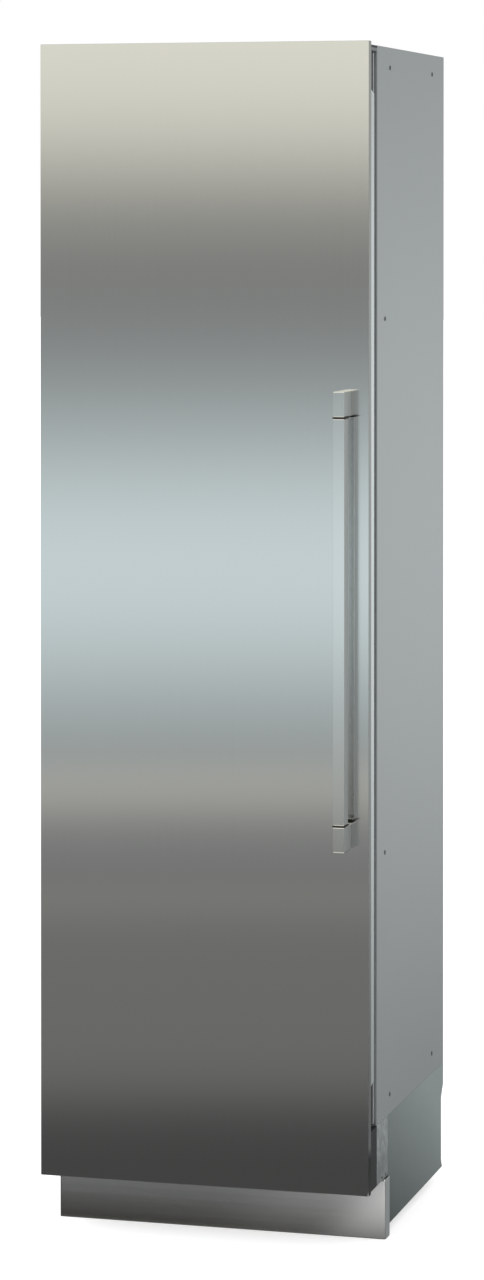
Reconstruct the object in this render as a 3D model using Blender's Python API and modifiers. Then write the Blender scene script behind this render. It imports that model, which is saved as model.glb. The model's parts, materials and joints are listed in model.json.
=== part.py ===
"""Integrated column freezer with one full-height door.

X points right, Y points back and Z points up, in metres. The origin is under
the middle of the whole object, on the floor. The door hinges on the left.
"Depth" below is a distance back from the front face of the door panel.
"""

import math

import bmesh
import bpy
from mathutils import Matrix, Vector

for old in list(bpy.data.objects):
    bpy.data.objects.remove(old, do_unlink=True)

# Clearances and shared sizes
GAP = 0.0003
OVERRUN = 0.01
WELD = 0.00005
ROUND_SIDES = 20
ARC_STEPS = 4
ROUND_ANGLE = math.radians(35)
SHEET = 0.001

# Whole appliance
BODY_WIDTH = 0.603
BODY_HEIGHT = 2.126
OVERALL_DEPTH = 0.606
BASE_HEIGHT = 0.2146
CABINET_DEPTH = 0.066
HANDLE_REACH = 0.052
FRONT_Y = (HANDLE_REACH - OVERALL_DEPTH) / 2
HALF_BODY = BODY_WIDTH / 2

# Door panel that dresses the front
PANEL_SIDE_LAP = 0.001
PANEL_TOP_LAP = 0.006
PANEL_THICKNESS = 0.019
PANEL_BOTTOM = 0.104
PANEL_BEVEL = 0.0012
PANEL_WIDTH = BODY_WIDTH + PANEL_SIDE_LAP * 2
PANEL_TOP = BODY_HEIGHT + PANEL_TOP_LAP

# Insulated door behind the panel
DOOR_SIDE_INSET = 0.003
DOOR_TOP_DROP = 0.014
DOOR_BOTTOM_RISE = 0.0074
DOOR_EDGE_BEVEL = 0.0006
LINER_WALL = 0.002
DOOR_PLUG_INSET = 0.0435
DOOR_PLUG_CORNER = 0.012
GASKET_INSET = 0.0175
GASKET_WIDTH = 0.020
GASKET_LIP = 0.0025
GASKET_HEIGHT = 0.0133
DOOR_PLUG_LAP = 0.0019
DYKE_INSET = 0.073
DYKE_WIDTH = 0.018
DYKE_DEPTH = 0.055
DYKE_BELOW_RACK = 0.055
DYKE_ABOVE_RACK = 0.050
DYKE_BEVEL = 0.006
DOOR_WIDTH = BODY_WIDTH - DOOR_SIDE_INSET * 2
DOOR_BOTTOM = BASE_HEIGHT + DOOR_BOTTOM_RISE
DOOR_TOP = BODY_HEIGHT - DOOR_TOP_DROP
HALF_DOOR = DOOR_WIDTH / 2
DYKE_CENTRE = HALF_DOOR - DYKE_INSET
FLANGE_BACK = CABINET_DEPTH - GASKET_HEIGHT - GAP * 2
SHELL_BACK = FLANGE_BACK - LINER_WALL - GAP
DOOR_INNER_DEPTH = CABINET_DEPTH - DOOR_PLUG_LAP

# Aluminium strips that clamp the panel to the door's edges
STRIP_THICKNESS = 0.0025
STRIP_DEPTH = 0.0255
STRIP_BOTTOM_INSET = 0.070
STRIP_TOP_INSET = 0.064
STRIP_SLANT = 0.008
STRIP_BOTTOM = DOOR_BOTTOM + STRIP_BOTTOM_INSET
STRIP_TOP = DOOR_TOP - STRIP_TOP_INSET

# Handle
HANDLE_WIDTH = 0.021
HANDLE_BAR_DEPTH = 0.028
HANDLE_CENTRE_FROM_EDGE = 0.0415
HANDLE_BOTTOM = 0.715
HANDLE_LENGTH = 0.804
HANDLE_POST_HEIGHT = 0.0445
HANDLE_RING_HEIGHT = 0.0022
HANDLE_RING_PROUD = 0.0008
HANDLE_BEVEL = 0.0016
HANDLE_TOP = HANDLE_BOTTOM + HANDLE_LENGTH
HANDLE_X = PANEL_WIDTH / 2 - HANDLE_CENTRE_FROM_EDGE

# Door hinge
HINGE_INSET = 0.0115
HINGE_BEHIND_PANEL = 0.017
HINGE_PIN_RADIUS = 0.005
HINGE_PIN_REACH = 0.020
HINGE_BUSH_WALL = 0.0025
HINGE_BUSH_FLANGE = 0.0008
HINGE_BUSH_FLANGE_WALL = 0.0015
HINGE_PLATE = 0.004
HINGE_PLATE_LENGTH = 0.079
HINGE_NOSE_WALL = 0.003
HINGE_TOP_REACH = 0.075
HINGE_LEG_DROP = 0.065
PIN_RUNNING_GAP = 0.0004
HINGE_NOSE_RADIUS = HINGE_PIN_RADIUS + HINGE_NOSE_WALL
HINGE_DEPTH = PANEL_THICKNESS + HINGE_BEHIND_PANEL
HINGE_X = HINGE_INSET - HALF_DOOR

# Cabinet shell, foam and liner
FLANGE_WIDTH = 0.014
SHEET_CORNER = 0.0025
BEAD_RISE = 0.003
BEAD_WIDTH = 0.040
BEAD_SPACING = 0.150
BEAD_SLOPE = 0.006
TIP_PAD_WIDTH = 0.140
TIP_PAD_LENGTH = 0.045
TIP_PAD_RISE = 0.002
TIP_PAD_FROM_BACK = 0.060
SIDE_WALL = 0.055
ROOF_WALL = 0.071
FLOOR_WALL = 0.0604
BACK_WALL = 0.065
LINER_CORNER = 0.008
LEDGE_RISE = 0.006
LEDGE_HEIGHT = 0.008
LEDGE_INSET = 0.004
HALF_CAVITY = HALF_BODY - SIDE_WALL
CAVITY_BOTTOM = BASE_HEIGHT + FLOOR_WALL
CAVITY_TOP = BODY_HEIGHT - ROOF_WALL
CAVITY_BACK = OVERALL_DEPTH - BACK_WALL

# Black trim over the door
TRIM_DROP = 0.0102
TRIM_FRONT = 0.0225
TRIM_WALL = 0.002
TRIM_LEFT = 0.040

# Evaporator cover, the duct that it closes, and its slots
DUCT_DEPTH = 0.071
COVER_DEPTH = 0.028
COVER_WALL = 0.0025
COVER_END_GAP = 0.010
GRILLE_RADIUS = 0.052
GRILLE_SLOT = 0.005
GRILLE_PITCH = 0.010
RETURN_SLOT_LENGTH = 0.300
RETURN_SLOT_HEIGHT = 0.005
RETURN_SLOT_PITCH = 0.012
RETURN_SLOT_COUNT = 4
RETURN_SLOT_RISE = 0.015
OUTLET_LENGTH = 0.060
OUTLET_HEIGHT = 0.008
OUTLET_SPREAD = 0.130
OUTLET_RISE = 0.230
COVER_FRONT = CAVITY_BACK - DUCT_DEPTH
COVER_BOTTOM = CAVITY_BOTTOM + COVER_END_GAP
COVER_TOP = CAVITY_TOP - COVER_END_GAP
RETURN_SLOT_BOTTOM = COVER_BOTTOM + RETURN_SLOT_RISE

# Drawers on their runners
DRAWER_FRONT = 0.142
DRAWER_BACK_GAP = 0.018
DRAWER_WALL = 0.003
DRAWER_LIP_DROP = 0.050
DRAWER_LIP = 0.004
DRAWER_SIDE_GAP = 0.0012
DRAWER_FLOOR_GAP = 0.015
DRAWER_STACK_GAP = 0.035
DRAWER_HEIGHTS = {"lower": 0.265, "upper": 0.215}
TUB_CORNER = 0.014
GRIP_REACH = 0.012
GRIP_HEIGHT = 0.018
RUNNER_WIDTH = 0.013
RUNNER_HEIGHT = 0.026
RUNNER_WALL = 0.002
RUNNER_FRONT = 0.150
RUNNER_BACK_GAP = 0.008
RUNNER_BAR = 0.008
DRAWER_BACK = COVER_FRONT - DRAWER_BACK_GAP
RUNNER_BACK = COVER_FRONT - RUNNER_BACK_GAP
LOWER_DRAWER_FLOOR = CAVITY_BOTTOM + DRAWER_FLOOR_GAP
UPPER_DRAWER_FLOOR = LOWER_DRAWER_FLOOR + DRAWER_HEIGHTS["lower"] + DRAWER_STACK_GAP
DRAWER_FLOORS = {"lower": LOWER_DRAWER_FLOOR, "upper": UPPER_DRAWER_FLOOR}

# Glass shelves
GLASS = 0.005
SHELF_FRONT = 0.196
SHELF_BACK_GAP = 0.006
SHELF_SIDE_GAP = 0.0025
SHELF_TRIM_DEPTH = 0.010
SHELF_TRIM_LIP = 0.0025
SHELF_OVER_DRAWER = 0.045
SHELF_UNDER_CEILING = 0.405
SHELF_BACK = COVER_FRONT - SHELF_BACK_GAP
LEDGE_FRONT = SHELF_FRONT + LEDGE_INSET
LEDGE_BACK = SHELF_BACK - LEDGE_INSET / 2
LOWER_SHELF = UPPER_DRAWER_FLOOR + DRAWER_HEIGHTS["upper"] + SHELF_OVER_DRAWER
UPPER_SHELF = CAVITY_TOP - SHELF_UNDER_CEILING
SHELF_HEIGHTS = {"lower": LOWER_SHELF, "middle": (LOWER_SHELF + UPPER_SHELF) / 2, "upper": UPPER_SHELF}

# Evaporator and its fan
COIL_SIDE_ROOM = 0.0465
COIL_RISE = 0.050
COIL_HEIGHT = 0.240
COIL_DEPTH = 0.032
COIL_FIN_COUNT = 14
COIL_ROW_COUNT = 6
COIL_TUBE_RADIUS = 0.004
COIL_FIN_THICKNESS = 0.0012
FAN_OVER_COIL = 0.340
FAN_RADIUS = 0.050
FAN_HUB_RADIUS = 0.017
FAN_HUB_LENGTH = 0.016
FAN_BLADE_THICKNESS = 0.0015
FAN_BLADE_COUNT = 5
FAN_BLADE_PITCH = math.radians(32)
FAN_SHAFT_RADIUS = 0.003
FAN_BEHIND_COVER = 0.011
MOTOR_RADIUS = 0.022
COIL_WIDTH = (HALF_CAVITY - COIL_SIDE_ROOM) * 2
COIL_BOTTOM = LOWER_SHELF + COIL_RISE
FAN_HEIGHT = COIL_BOTTOM + COIL_HEIGHT + FAN_OVER_COIL
FAN_FRONT = COVER_FRONT + FAN_BEHIND_COVER

# Lights and controls
LIGHT_FRONT = 0.174
LIGHT_WIDTH = 0.012
LIGHT_RISE = 0.007
LIGHT_OVER_SHELF = 0.050
LIGHT_UNDER_CEILING = 0.055
CONTROL_HALF_WIDTH = 0.125
CONTROL_BEHIND_FRONT = 0.019
CONTROL_DEPTH = 0.075
CONTROL_HEIGHT = 0.024
CONTROL_NOSE = 0.008
LIGHT_BOTTOM = LOWER_SHELF + LIGHT_OVER_SHELF
LIGHT_TOP = CAVITY_TOP - LIGHT_UNDER_CEILING
CONTROL_FRONT = CABINET_DEPTH + CONTROL_BEHIND_FRONT

# Ice bin, ice maker and its twisting tray
BIN_HALF_WIDTH = 0.110
BIN_SIDE_GAP = 0.0115
BIN_FRONT = 0.202
BIN_BACK_GAP = 0.012
BIN_HEIGHT = 0.150
BIN_WALL = 0.003
ICE_HOOD_HALF_WIDTH = 0.078
ICE_HOOD_FRONT = 0.205
ICE_HOOD_BACK_GAP = 0.025
ICE_HOOD_HEIGHT = 0.135
ICE_HOOD_WALL = 0.003
ICE_AXIS_DROP = 0.071
TRAY_HALF_WIDTH = 0.050
TRAY_DEPTH = 0.030
TRAY_RIM_ABOVE_AXIS = 0.006
TRAY_END_GAP = 0.004
TRAY_PIN_RADIUS = 0.004
TRAY_CUP_WALL = 0.004
TRAY_ROWS = 2
TRAY_CUPS_PER_ROW = 5
CUP_DEPTH = 0.025
CUP_TAPER_SHARE = 0.72
BIN_BACK = COVER_FRONT - BIN_BACK_GAP
ICE_CENTRE_X = BIN_SIDE_GAP + BIN_HALF_WIDTH - HALF_CAVITY
ICE_HOOD_BACK = COVER_FRONT - ICE_HOOD_BACK_GAP
ICE_HOOD_BOTTOM = CAVITY_TOP - ICE_HOOD_HEIGHT
ICE_AXIS_HEIGHT = CAVITY_TOP - ICE_AXIS_DROP

# Door racks
RACK_SIDE_GAP = 0.001
RACK_DEPTH = 0.098
RACK_HEIGHT = 0.095
RACK_WALL = 0.0028
RACK_CORNER = 0.020
RACK_OVER_SHELF = 0.070
RACK_SPACING = 0.380
RACK_HALF_WIDTH = DYKE_CENTRE - DYKE_WIDTH / 2 - RACK_SIDE_GAP
LOWER_RACK = LOWER_SHELF + RACK_OVER_SHELF
UPPER_RACK = LOWER_RACK + RACK_SPACING
RACK_FLOORS = {"lower": LOWER_RACK, "upper": UPPER_RACK}
DYKE_BOTTOM = LOWER_RACK - DYKE_BELOW_RACK
DYKE_TOP = UPPER_RACK + RACK_HEIGHT + DYKE_ABOVE_RACK

# Base
PLINTH_SET_BACK = 0.118
PLINTH_DEPTH = 0.032
KICK_SIDE_LAP = 0.0035
KICK_TOP_GAP = 0.002
KICK_WALL = 0.0012
KICK_CORNER = 0.003
KICK_HEM = 0.011
BASE_SIDE_BOTTOM = 0.018
BASE_SIDE_WALL = 0.003
BASE_STEP_TOP_DROP = 0.0396
BASE_STEP_HEIGHT = 0.025
BASE_STEP = 0.018
BASE_FLARE = 0.008
BASE_FLARE_HEIGHT = 0.016
TRAY_Z = 0.048
BASE_TRAY_FRONT_GAP = 0.003
BASE_TRAY_BACK_INSET = 0.028
BASE_TRAY_LIP = 0.014
BASE_TRAY_WALL = 0.0015
MEMBER_OVER_PANEL = 0.004
MEMBER_WALL = 0.002
COVER_PLATE_GAP = 0.0025
COVER_PLATE_WALL = 0.002
AIR_SLOT_LENGTH = 0.420
AIR_SLOT_HEIGHT = 0.006
AIR_SLOT_PITCH = 0.013
AIR_SLOT_COUNT = 5
KICK_WIDTH = BODY_WIDTH + KICK_SIDE_LAP * 2
KICK_HEIGHT = PANEL_BOTTOM - KICK_TOP_GAP
KICK_FRONT = PLINTH_SET_BACK
KICK_BACK = KICK_FRONT + PLINTH_DEPTH
BASE_SIDE_FRONT = KICK_BACK
BASE_STEP_TOP = BASE_HEIGHT - BASE_STEP_TOP_DROP
BASE_STEP_BOTTOM = BASE_STEP_TOP - BASE_STEP_HEIGHT
BASE_FLARE_TOP = BASE_SIDE_BOTTOM + BASE_FLARE_HEIGHT
BASE_TRAY_FRONT = BASE_SIDE_FRONT + BASE_TRAY_FRONT_GAP
BASE_TRAY_BACK = OVERALL_DEPTH - BASE_TRAY_BACK_INSET
MEMBER_BOTTOM = PANEL_BOTTOM + MEMBER_OVER_PANEL
MEMBER_FRONT = CABINET_DEPTH
COVER_PLATE_FRONT = PANEL_THICKNESS + COVER_PLATE_GAP

# Compressor and the drip tray on it
COMPRESSOR_RADIUS = 0.062
COMPRESSOR_HEIGHT = 0.122
COMPRESSOR_SEAM_HEIGHT = 0.045
COMPRESSOR_DOME = 0.045
DOME_STEPS = 4
COMPRESSOR_SEAM = 0.004
COMPRESSOR_SIDE_INSET = 0.1365
COMPRESSOR_BACK_INSET = 0.136
COMPRESSOR_PLATE = 0.003
COMPRESSOR_PLATE_HALF = 0.082
GROMMET_RADIUS = 0.010
GROMMET_HEIGHT = 0.012
DRIP_WIDTH = 0.190
DRIP_DEPTH = 0.150
DRIP_HEIGHT = 0.018
DRIP_WALL = 0.0015
COMPRESSOR_X = HALF_BODY - COMPRESSOR_SIDE_INSET
COMPRESSOR_DEPTH = OVERALL_DEPTH - COMPRESSOR_BACK_INSET

# Condenser and its fan
CONDENSER_SIDE_INSET = 0.1915
CONDENSER_WIDTH = 0.256
CONDENSER_HEIGHT = 0.120
CONDENSER_SET_BACK = 0.040
CONDENSER_THICKNESS = 0.050
CONDENSER_FIN_COUNT = 13
CONDENSER_ROW_COUNT = 4
SHROUD_WALL = 0.0015
SHROUD_GAP = 0.012
SHROUD_DEPTH = 0.030
SPIDER_BAR = 0.008
CONDENSER_X = CONDENSER_SIDE_INSET - HALF_BODY
CONDENSER_FRONT = BASE_SIDE_FRONT + CONDENSER_SET_BACK

# Electrical box with the mains inlet
TERMINAL_SIDE_INSET = 0.0865
TERMINAL_WIDTH = 0.090
TERMINAL_DEPTH = 0.080
TERMINAL_HEIGHT = 0.105
SOCKET_WIDTH = 0.027
SOCKET_HEIGHT = 0.020
SOCKET_DEPTH = 0.015
SOCKET_PIN = 0.0022
SOCKET_PIN_SPREAD = 0.007
TERMINAL_X = TERMINAL_SIDE_INSET - HALF_BODY
TERMINAL_BACK = BASE_TRAY_BACK - BASE_TRAY_WALL - GAP
TERMINAL_FRONT = TERMINAL_BACK - TERMINAL_DEPTH

# Levelling feet and rollers
FOOT_SIDE_INSET = 0.0665
FOOT_SET_BACK = 0.032
FOOT_RADIUS = 0.020
FOOT_HEIGHT = 0.010
FOOT_NUT_RADIUS = 0.0095
FOOT_NUT_HEIGHT = 0.006
FOOT_NUT_SIDES = 6
FOOT_STEM_RADIUS = 0.005
FOOT_STEM_ABOVE_TRAY = 0.032
WHEEL_SIDE_INSET = 0.0765
WHEEL_BACK_INSET = 0.086
WHEEL_RADIUS = 0.019
WHEEL_WIDTH = 0.018
WHEEL_BORE = 0.004
WHEEL_EAR = 0.003
WHEEL_EAR_HALF = 0.014
FOOT_X = HALF_BODY - FOOT_SIDE_INSET
FOOT_DEPTH = BASE_SIDE_FRONT + FOOT_SET_BACK
FOOT_STEM_TOP = TRAY_Z + FOOT_STEM_ABOVE_TRAY
WHEEL_X = HALF_BODY - WHEEL_SIDE_INSET
WHEEL_DEPTH = OVERALL_DEPTH - WHEEL_BACK_INSET

# Colours, roughness and metallic of each finish
FINISHES = {
    "brushed_steel": ((0.56, 0.57, 0.57, 1), 0.34, 1.0),
    "grey_sheet": ((0.36, 0.38, 0.38, 1), 0.45, 0.0),
    "aluminium": ((0.66, 0.68, 0.68, 1), 0.35, 1.0),
    "black_plastic": ((0.02, 0.02, 0.02, 1), 0.5, 0.0),
    "base_plastic": ((0.17, 0.20, 0.20, 1), 0.5, 0.0),
    "white_plastic": ((0.83, 0.84, 0.84, 1), 0.4, 0.0),
    "clear_plastic": ((0.80, 0.85, 0.87, 1), 0.2, 0.0),
    "foam": ((0.80, 0.70, 0.48, 1), 0.9, 0.0),
    "gasket_rubber": ((0.30, 0.31, 0.32, 1), 0.7, 0.0),
    "zinc_steel": ((0.50, 0.51, 0.52, 1), 0.4, 1.0),
    "glass": ((0.75, 0.85, 0.82, 1), 0.05, 0.0),
    "black_enamel": ((0.03, 0.03, 0.035, 1), 0.35, 0.0),
    "light_diffuser": ((0.95, 0.96, 0.97, 1), 0.5, 0.0),
}


def new_collection(name):
    """A collection linked to the scene."""
    collection = bpy.data.collections.new(name)
    bpy.context.scene.collection.children.link(collection)
    return collection


PARTS = new_collection("integrated_freezer")
CUTTERS = new_collection("cutters")


def adopt(piece, name, collection=PARTS):
    """Name a piece and move it to its collection."""
    for owner in list(piece.users_collection):
        owner.objects.unlink(piece)
    collection.objects.link(piece)
    piece.name = name
    piece.data.name = name
    if collection is CUTTERS:
        piece.hide_render = True
        piece.display_type = "WIRE"
    return piece


def back(depth):
    """The Y of a depth measured from the door panel's front face."""
    return FRONT_Y + depth


def smooth(piece):
    """Shade a piece's round stretches smooth and keep its real edges sharp."""
    piece.data.shade_smooth()
    piece.data.set_sharp_from_angle(angle=ROUND_ANGLE)
    return piece


def paint(piece, finish):
    """Give a piece its own material of one finish."""
    colour, roughness, metallic = FINISHES[finish]
    material = bpy.data.materials.new(piece.name + "_" + finish)
    material.use_nodes = True
    shader = material.node_tree.nodes["Principled BSDF"]
    shader.inputs["Base Color"].default_value = colour
    shader.inputs["Roughness"].default_value = roughness
    shader.inputs["Metallic"].default_value = metallic
    piece.data.materials.clear()
    piece.data.materials.append(material)
    return piece


def add_box(name, low, high, collection=PARTS):
    """A box between its lowest and highest corners."""
    low = Vector(low)
    high = Vector(high)
    bpy.ops.mesh.primitive_cube_add(size=1)
    piece = bpy.context.object
    piece.data.transform(Matrix.Diagonal((*(high - low), 1)))
    piece.location = (low + high) / 2
    return adopt(piece, name, collection)


# Turns that lay a shape drawn along Z along another axis
AXIS_TURNS = {
    "Z": Matrix.Identity(4),
    "X": Matrix(((0, 0, 1, 0), (1, 0, 0, 0), (0, 1, 0, 0), (0, 0, 0, 1))),
    "Y": Matrix(((1, 0, 0, 0), (0, 0, -1, 0), (0, 1, 0, 0), (0, 0, 0, 1))),
}


def add_cylinder(name, centre, radius, length, axis="Z", sides=ROUND_SIDES, collection=PARTS):
    """A cylinder centred on a point, along one axis."""
    bpy.ops.mesh.primitive_cylinder_add(vertices=sides, radius=radius, depth=length)
    piece = bpy.context.object
    piece.data.transform(AXIS_TURNS[axis])
    piece.location = centre
    return adopt(smooth(piece), name, collection)


def mesh_from(drawn, name, collection):
    """The closed mesh of a drawn curve, which is then removed."""
    bpy.context.view_layer.update()
    graph = bpy.context.evaluated_depsgraph_get()
    mesh = bpy.data.meshes.new_from_object(drawn.evaluated_get(graph))
    shape = bmesh.new()
    shape.from_mesh(mesh)
    bmesh.ops.remove_doubles(shape, verts=shape.verts, dist=WELD)
    bmesh.ops.recalc_face_normals(shape, faces=shape.faces)
    shape.to_mesh(mesh)
    shape.free()
    piece = bpy.data.objects.new(name, mesh)
    piece.matrix_world = drawn.matrix_world
    bpy.context.scene.collection.objects.link(piece)
    bpy.data.objects.remove(drawn, do_unlink=True)
    return adopt(smooth(piece), name, collection)


def add_prism(name, outline, start, end, axis, collection=PARTS):
    """A flat outline carried along an axis: (Y, Z) along X, (X, Z) along Y, (X, Y) along Z."""
    curve = bpy.data.curves.new(name, "CURVE")
    curve.dimensions = "2D"
    curve.fill_mode = "BOTH"
    curve.extrude = (end - start) / 2
    spline = curve.splines.new("POLY")
    spline.points.add(len(outline) - 1)
    for point, (across, up) in zip(spline.points, outline):
        point.co = (across, up, 0, 1)
    spline.use_cyclic_u = True
    drawn = bpy.data.objects.new(name + "_outline", curve)
    bpy.context.scene.collection.objects.link(drawn)
    piece = mesh_from(drawn, name, collection)
    piece.data.transform(AXIS_TURNS[axis])
    middle = (start + end) / 2
    piece.location = [middle if letter == axis else 0 for letter in "XYZ"]
    return piece


def add_tube(name, points, radius, collection=PARTS):
    """A round tube through a list of points."""
    curve = bpy.data.curves.new(name, "CURVE")
    curve.dimensions = "3D"
    curve.bevel_depth = radius
    curve.bevel_resolution = 1
    curve.use_fill_caps = True
    spline = curve.splines.new("POLY")
    spline.points.add(len(points) - 1)
    for point, place in zip(spline.points, points):
        point.co = (*place, 1)
    drawn = bpy.data.objects.new(name + "_path", curve)
    bpy.context.scene.collection.objects.link(drawn)
    return mesh_from(drawn, name, collection)


def add_turned(name, profile, centre, collection=PARTS):
    """A profile of (radius, height) points, top to bottom, turned about Z."""
    mesh = bpy.data.meshes.new(name)
    places = [(radius, 0, height) for radius, height in profile]
    mesh.from_pydata(places, [(i, i + 1) for i in range(len(places) - 1)], [])
    piece = bpy.data.objects.new(name, mesh)
    bpy.context.scene.collection.objects.link(piece)
    turn = piece.modifiers.new("turn", "SCREW")
    turn.steps = ROUND_SIDES
    turn.render_steps = ROUND_SIDES
    turn.use_merge_vertices = True
    turn.merge_threshold = WELD
    piece.location = centre
    return adopt(piece, name, collection)


def arc(centre, radius, start_turn, end_turn, steps=ARC_STEPS):
    """Points on an arc; turns are shares of a full circle."""
    points = []
    for step in range(steps + 1):
        angle = math.tau * (start_turn + (end_turn - start_turn) * step / steps)
        points.append((centre[0] + radius * math.cos(angle), centre[1] + radius * math.sin(angle)))
    return points


def rounded_outline(low, high, radius, steps=ARC_STEPS):
    """A rectangle with four round corners, counter-clockwise."""
    left, bottom = low
    right, top = high
    points = arc((right - radius, top - radius), radius, 0, 1 / 4, steps)
    points += arc((left + radius, top - radius), radius, 1 / 4, 1 / 2, steps)
    points += arc((left + radius, bottom + radius), radius, 1 / 2, 3 / 4, steps)
    points += arc((right - radius, bottom + radius), radius, 3 / 4, 1, steps)
    return points


def boolean(piece, other, operation, solver="EXACT"):
    """Join or cut a piece with another, which stays as a hidden guide."""
    change = piece.modifiers.new(operation.lower(), "BOOLEAN")
    change.operation = operation
    change.solver = solver
    change.object = other
    return piece


def cut(piece, *cutters):
    """Take each cutter away from a piece."""
    for cutter in cutters:
        boolean(piece, cutter, "DIFFERENCE")
    return piece


def fuse(piece, *others):
    """Join each other shape to a piece."""
    for other in others:
        boolean(piece, other, "UNION")
    return piece


def bevel(piece, width, segments=2):
    """Round a piece's sharp edges."""
    rounding = piece.modifiers.new("round", "BEVEL")
    rounding.width = width
    rounding.segments = segments
    rounding.limit_method = "ANGLE"
    return piece


def repeat(piece, count, step):
    """Repeat a cutter or a guide in a row."""
    row = piece.modifiers.new("row", "ARRAY")
    row.count = count
    row.use_relative_offset = False
    row.use_constant_offset = True
    row.constant_offset_displace = step
    return piece


def carry(name, place, pieces):
    """Hang moving pieces on an empty that stands on their joint's axis."""
    axis = bpy.data.objects.new(name, None)
    axis.location = place
    PARTS.objects.link(axis)
    for piece in pieces:
        piece.parent = axis
        piece.matrix_parent_inverse = Matrix.Translation(place).inverted()
    return axis


def add_tub(name, low, high, wall, corner, collection=PARTS):
    """An open-topped tub with round upright corners."""
    outer = rounded_outline(low[:2], high[:2], corner)
    tub = add_prism(name, outer, low[2], high[2], "Z", collection)
    inner_low = (low[0] + wall, low[1] + wall)
    inner_high = (high[0] - wall, high[1] - wall)
    inner = rounded_outline(inner_low, inner_high, corner - wall)
    room = add_prism(name + "_room", inner, low[2] + wall, high[2] + OVERRUN, "Z", CUTTERS)
    return cut(tub, room)


def add_mitred_frame(name, section, half_width, low, high):
    """A closed section of (inset, depth) points run round a rectangle with mitred corners."""
    shape = bmesh.new()
    rings = []
    for side, level, rise in ((-1, low, 1), (1, low, 1), (1, high, -1), (-1, high, -1)):
        ring = []
        for inset, depth in section:
            place = (side * (half_width - inset), back(depth), level + rise * inset)
            ring.append(shape.verts.new(place))
        rings.append(ring)
    for first, second in zip(rings, rings[1:] + rings[:1]):
        for i in range(len(section)):
            j = (i + 1) % len(section)
            shape.faces.new((first[i], first[j], second[j], second[i]))
    bmesh.ops.recalc_face_normals(shape, faces=shape.faces)
    mesh = bpy.data.meshes.new(name)
    shape.to_mesh(mesh)
    shape.free()
    piece = bpy.data.objects.new(name, mesh)
    bpy.context.scene.collection.objects.link(piece)
    return adopt(piece, name)


def mirrored(points):
    """The same outline on the other side of X = 0, run the other way."""
    return [(-across, up) for across, up in reversed(points)]


def make_door_panel():
    """The brushed steel panel that closes flush with the kitchen fronts."""
    low = (-PANEL_WIDTH / 2, back(0), PANEL_BOTTOM)
    high = (PANEL_WIDTH / 2, back(PANEL_THICKNESS), PANEL_TOP)
    panel = add_box("door_panel", low, high)
    return paint(bevel(panel, PANEL_BEVEL), "brushed_steel")


def bush_hole(name, level, inwards):
    """A cutter for a hinge bush, from a door edge inwards."""
    radius = HINGE_PIN_RADIUS + PIN_RUNNING_GAP + HINGE_BUSH_WALL + GAP
    middle = level + inwards * (HINGE_PIN_REACH - OVERRUN) / 2
    centre = (HINGE_X, back(HINGE_DEPTH), middle)
    return add_cylinder(name, centre, radius, HINGE_PIN_REACH + OVERRUN, collection=CUTTERS)


def bush_block(name, low_z, high_z):
    """The foam left out round a hinge bush."""
    reach = HINGE_PIN_RADIUS + PIN_RUNNING_GAP + HINGE_BUSH_WALL + GAP
    low = (-HALF_DOOR - OVERRUN, back(HINGE_DEPTH) - reach, low_z)
    high = (HINGE_X + reach, back(HINGE_DEPTH) + reach, high_z)
    return add_box(name, low, high, CUTTERS)


def make_door_shell():
    """The steel pan of the insulated door, open towards the cabinet."""
    front = PANEL_THICKNESS + GAP
    low = Vector((-HALF_DOOR, back(front), DOOR_BOTTOM))
    high = Vector((HALF_DOOR, back(SHELL_BACK), DOOR_TOP))
    shell = bevel(add_box("door_shell", low, high), DOOR_EDGE_BEVEL)
    wall = Vector((SHEET, SHEET, SHEET))
    room_high = high - wall
    room_high.y = high.y + OVERRUN
    cut(shell, add_box("door_shell_room", low + wall, room_high, CUTTERS))
    cut(shell, bush_hole("bush_hole_top", DOOR_TOP, -1))
    cut(shell, bush_hole("bush_hole_bottom", DOOR_BOTTOM, 1))
    return paint(shell, "grey_sheet")


def plug_outline(inset):
    """The raised part of the inner door in (X, Z), with round corners, drawn in by an inset."""
    half = HALF_DOOR - DOOR_PLUG_INSET - inset
    edge = DOOR_PLUG_INSET + inset
    low = (-half, DOOR_BOTTOM + edge)
    high = (half, DOOR_TOP - edge)
    return rounded_outline(low, high, DOOR_PLUG_CORNER - inset)


def make_door_liner():
    """The white inner door: a flange, a raised plug and the upright dykes for the racks."""
    flange_low = (-HALF_DOOR, back(SHELL_BACK + GAP), DOOR_BOTTOM)
    flange_high = (HALF_DOOR, back(FLANGE_BACK), DOOR_TOP)
    liner = add_box("door_liner", flange_low, flange_high)
    plug_front = back(SHELL_BACK + GAP)
    plug_back = back(DOOR_INNER_DEPTH)
    fuse(liner, add_prism("door_plug", plug_outline(0), plug_front, plug_back, "Y", CUTTERS))
    for side, label in ((-1, "left"), (1, "right")):
        centre = side * DYKE_CENTRE
        dyke_low = (centre - DYKE_WIDTH / 2, back(SHELL_BACK + GAP), DYKE_BOTTOM)
        dyke_high = (centre + DYKE_WIDTH / 2, back(DOOR_INNER_DEPTH + DYKE_DEPTH), DYKE_TOP)
        dyke = bevel(add_box("dyke_" + label, dyke_low, dyke_high, CUTTERS), DYKE_BEVEL)
        fuse(liner, dyke)
    outline = plug_outline(LINER_WALL)
    room = add_prism("door_plug_room", outline, plug_front - OVERRUN, plug_back - LINER_WALL, "Y", CUTTERS)
    return paint(cut(liner, room), "white_plastic")


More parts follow.
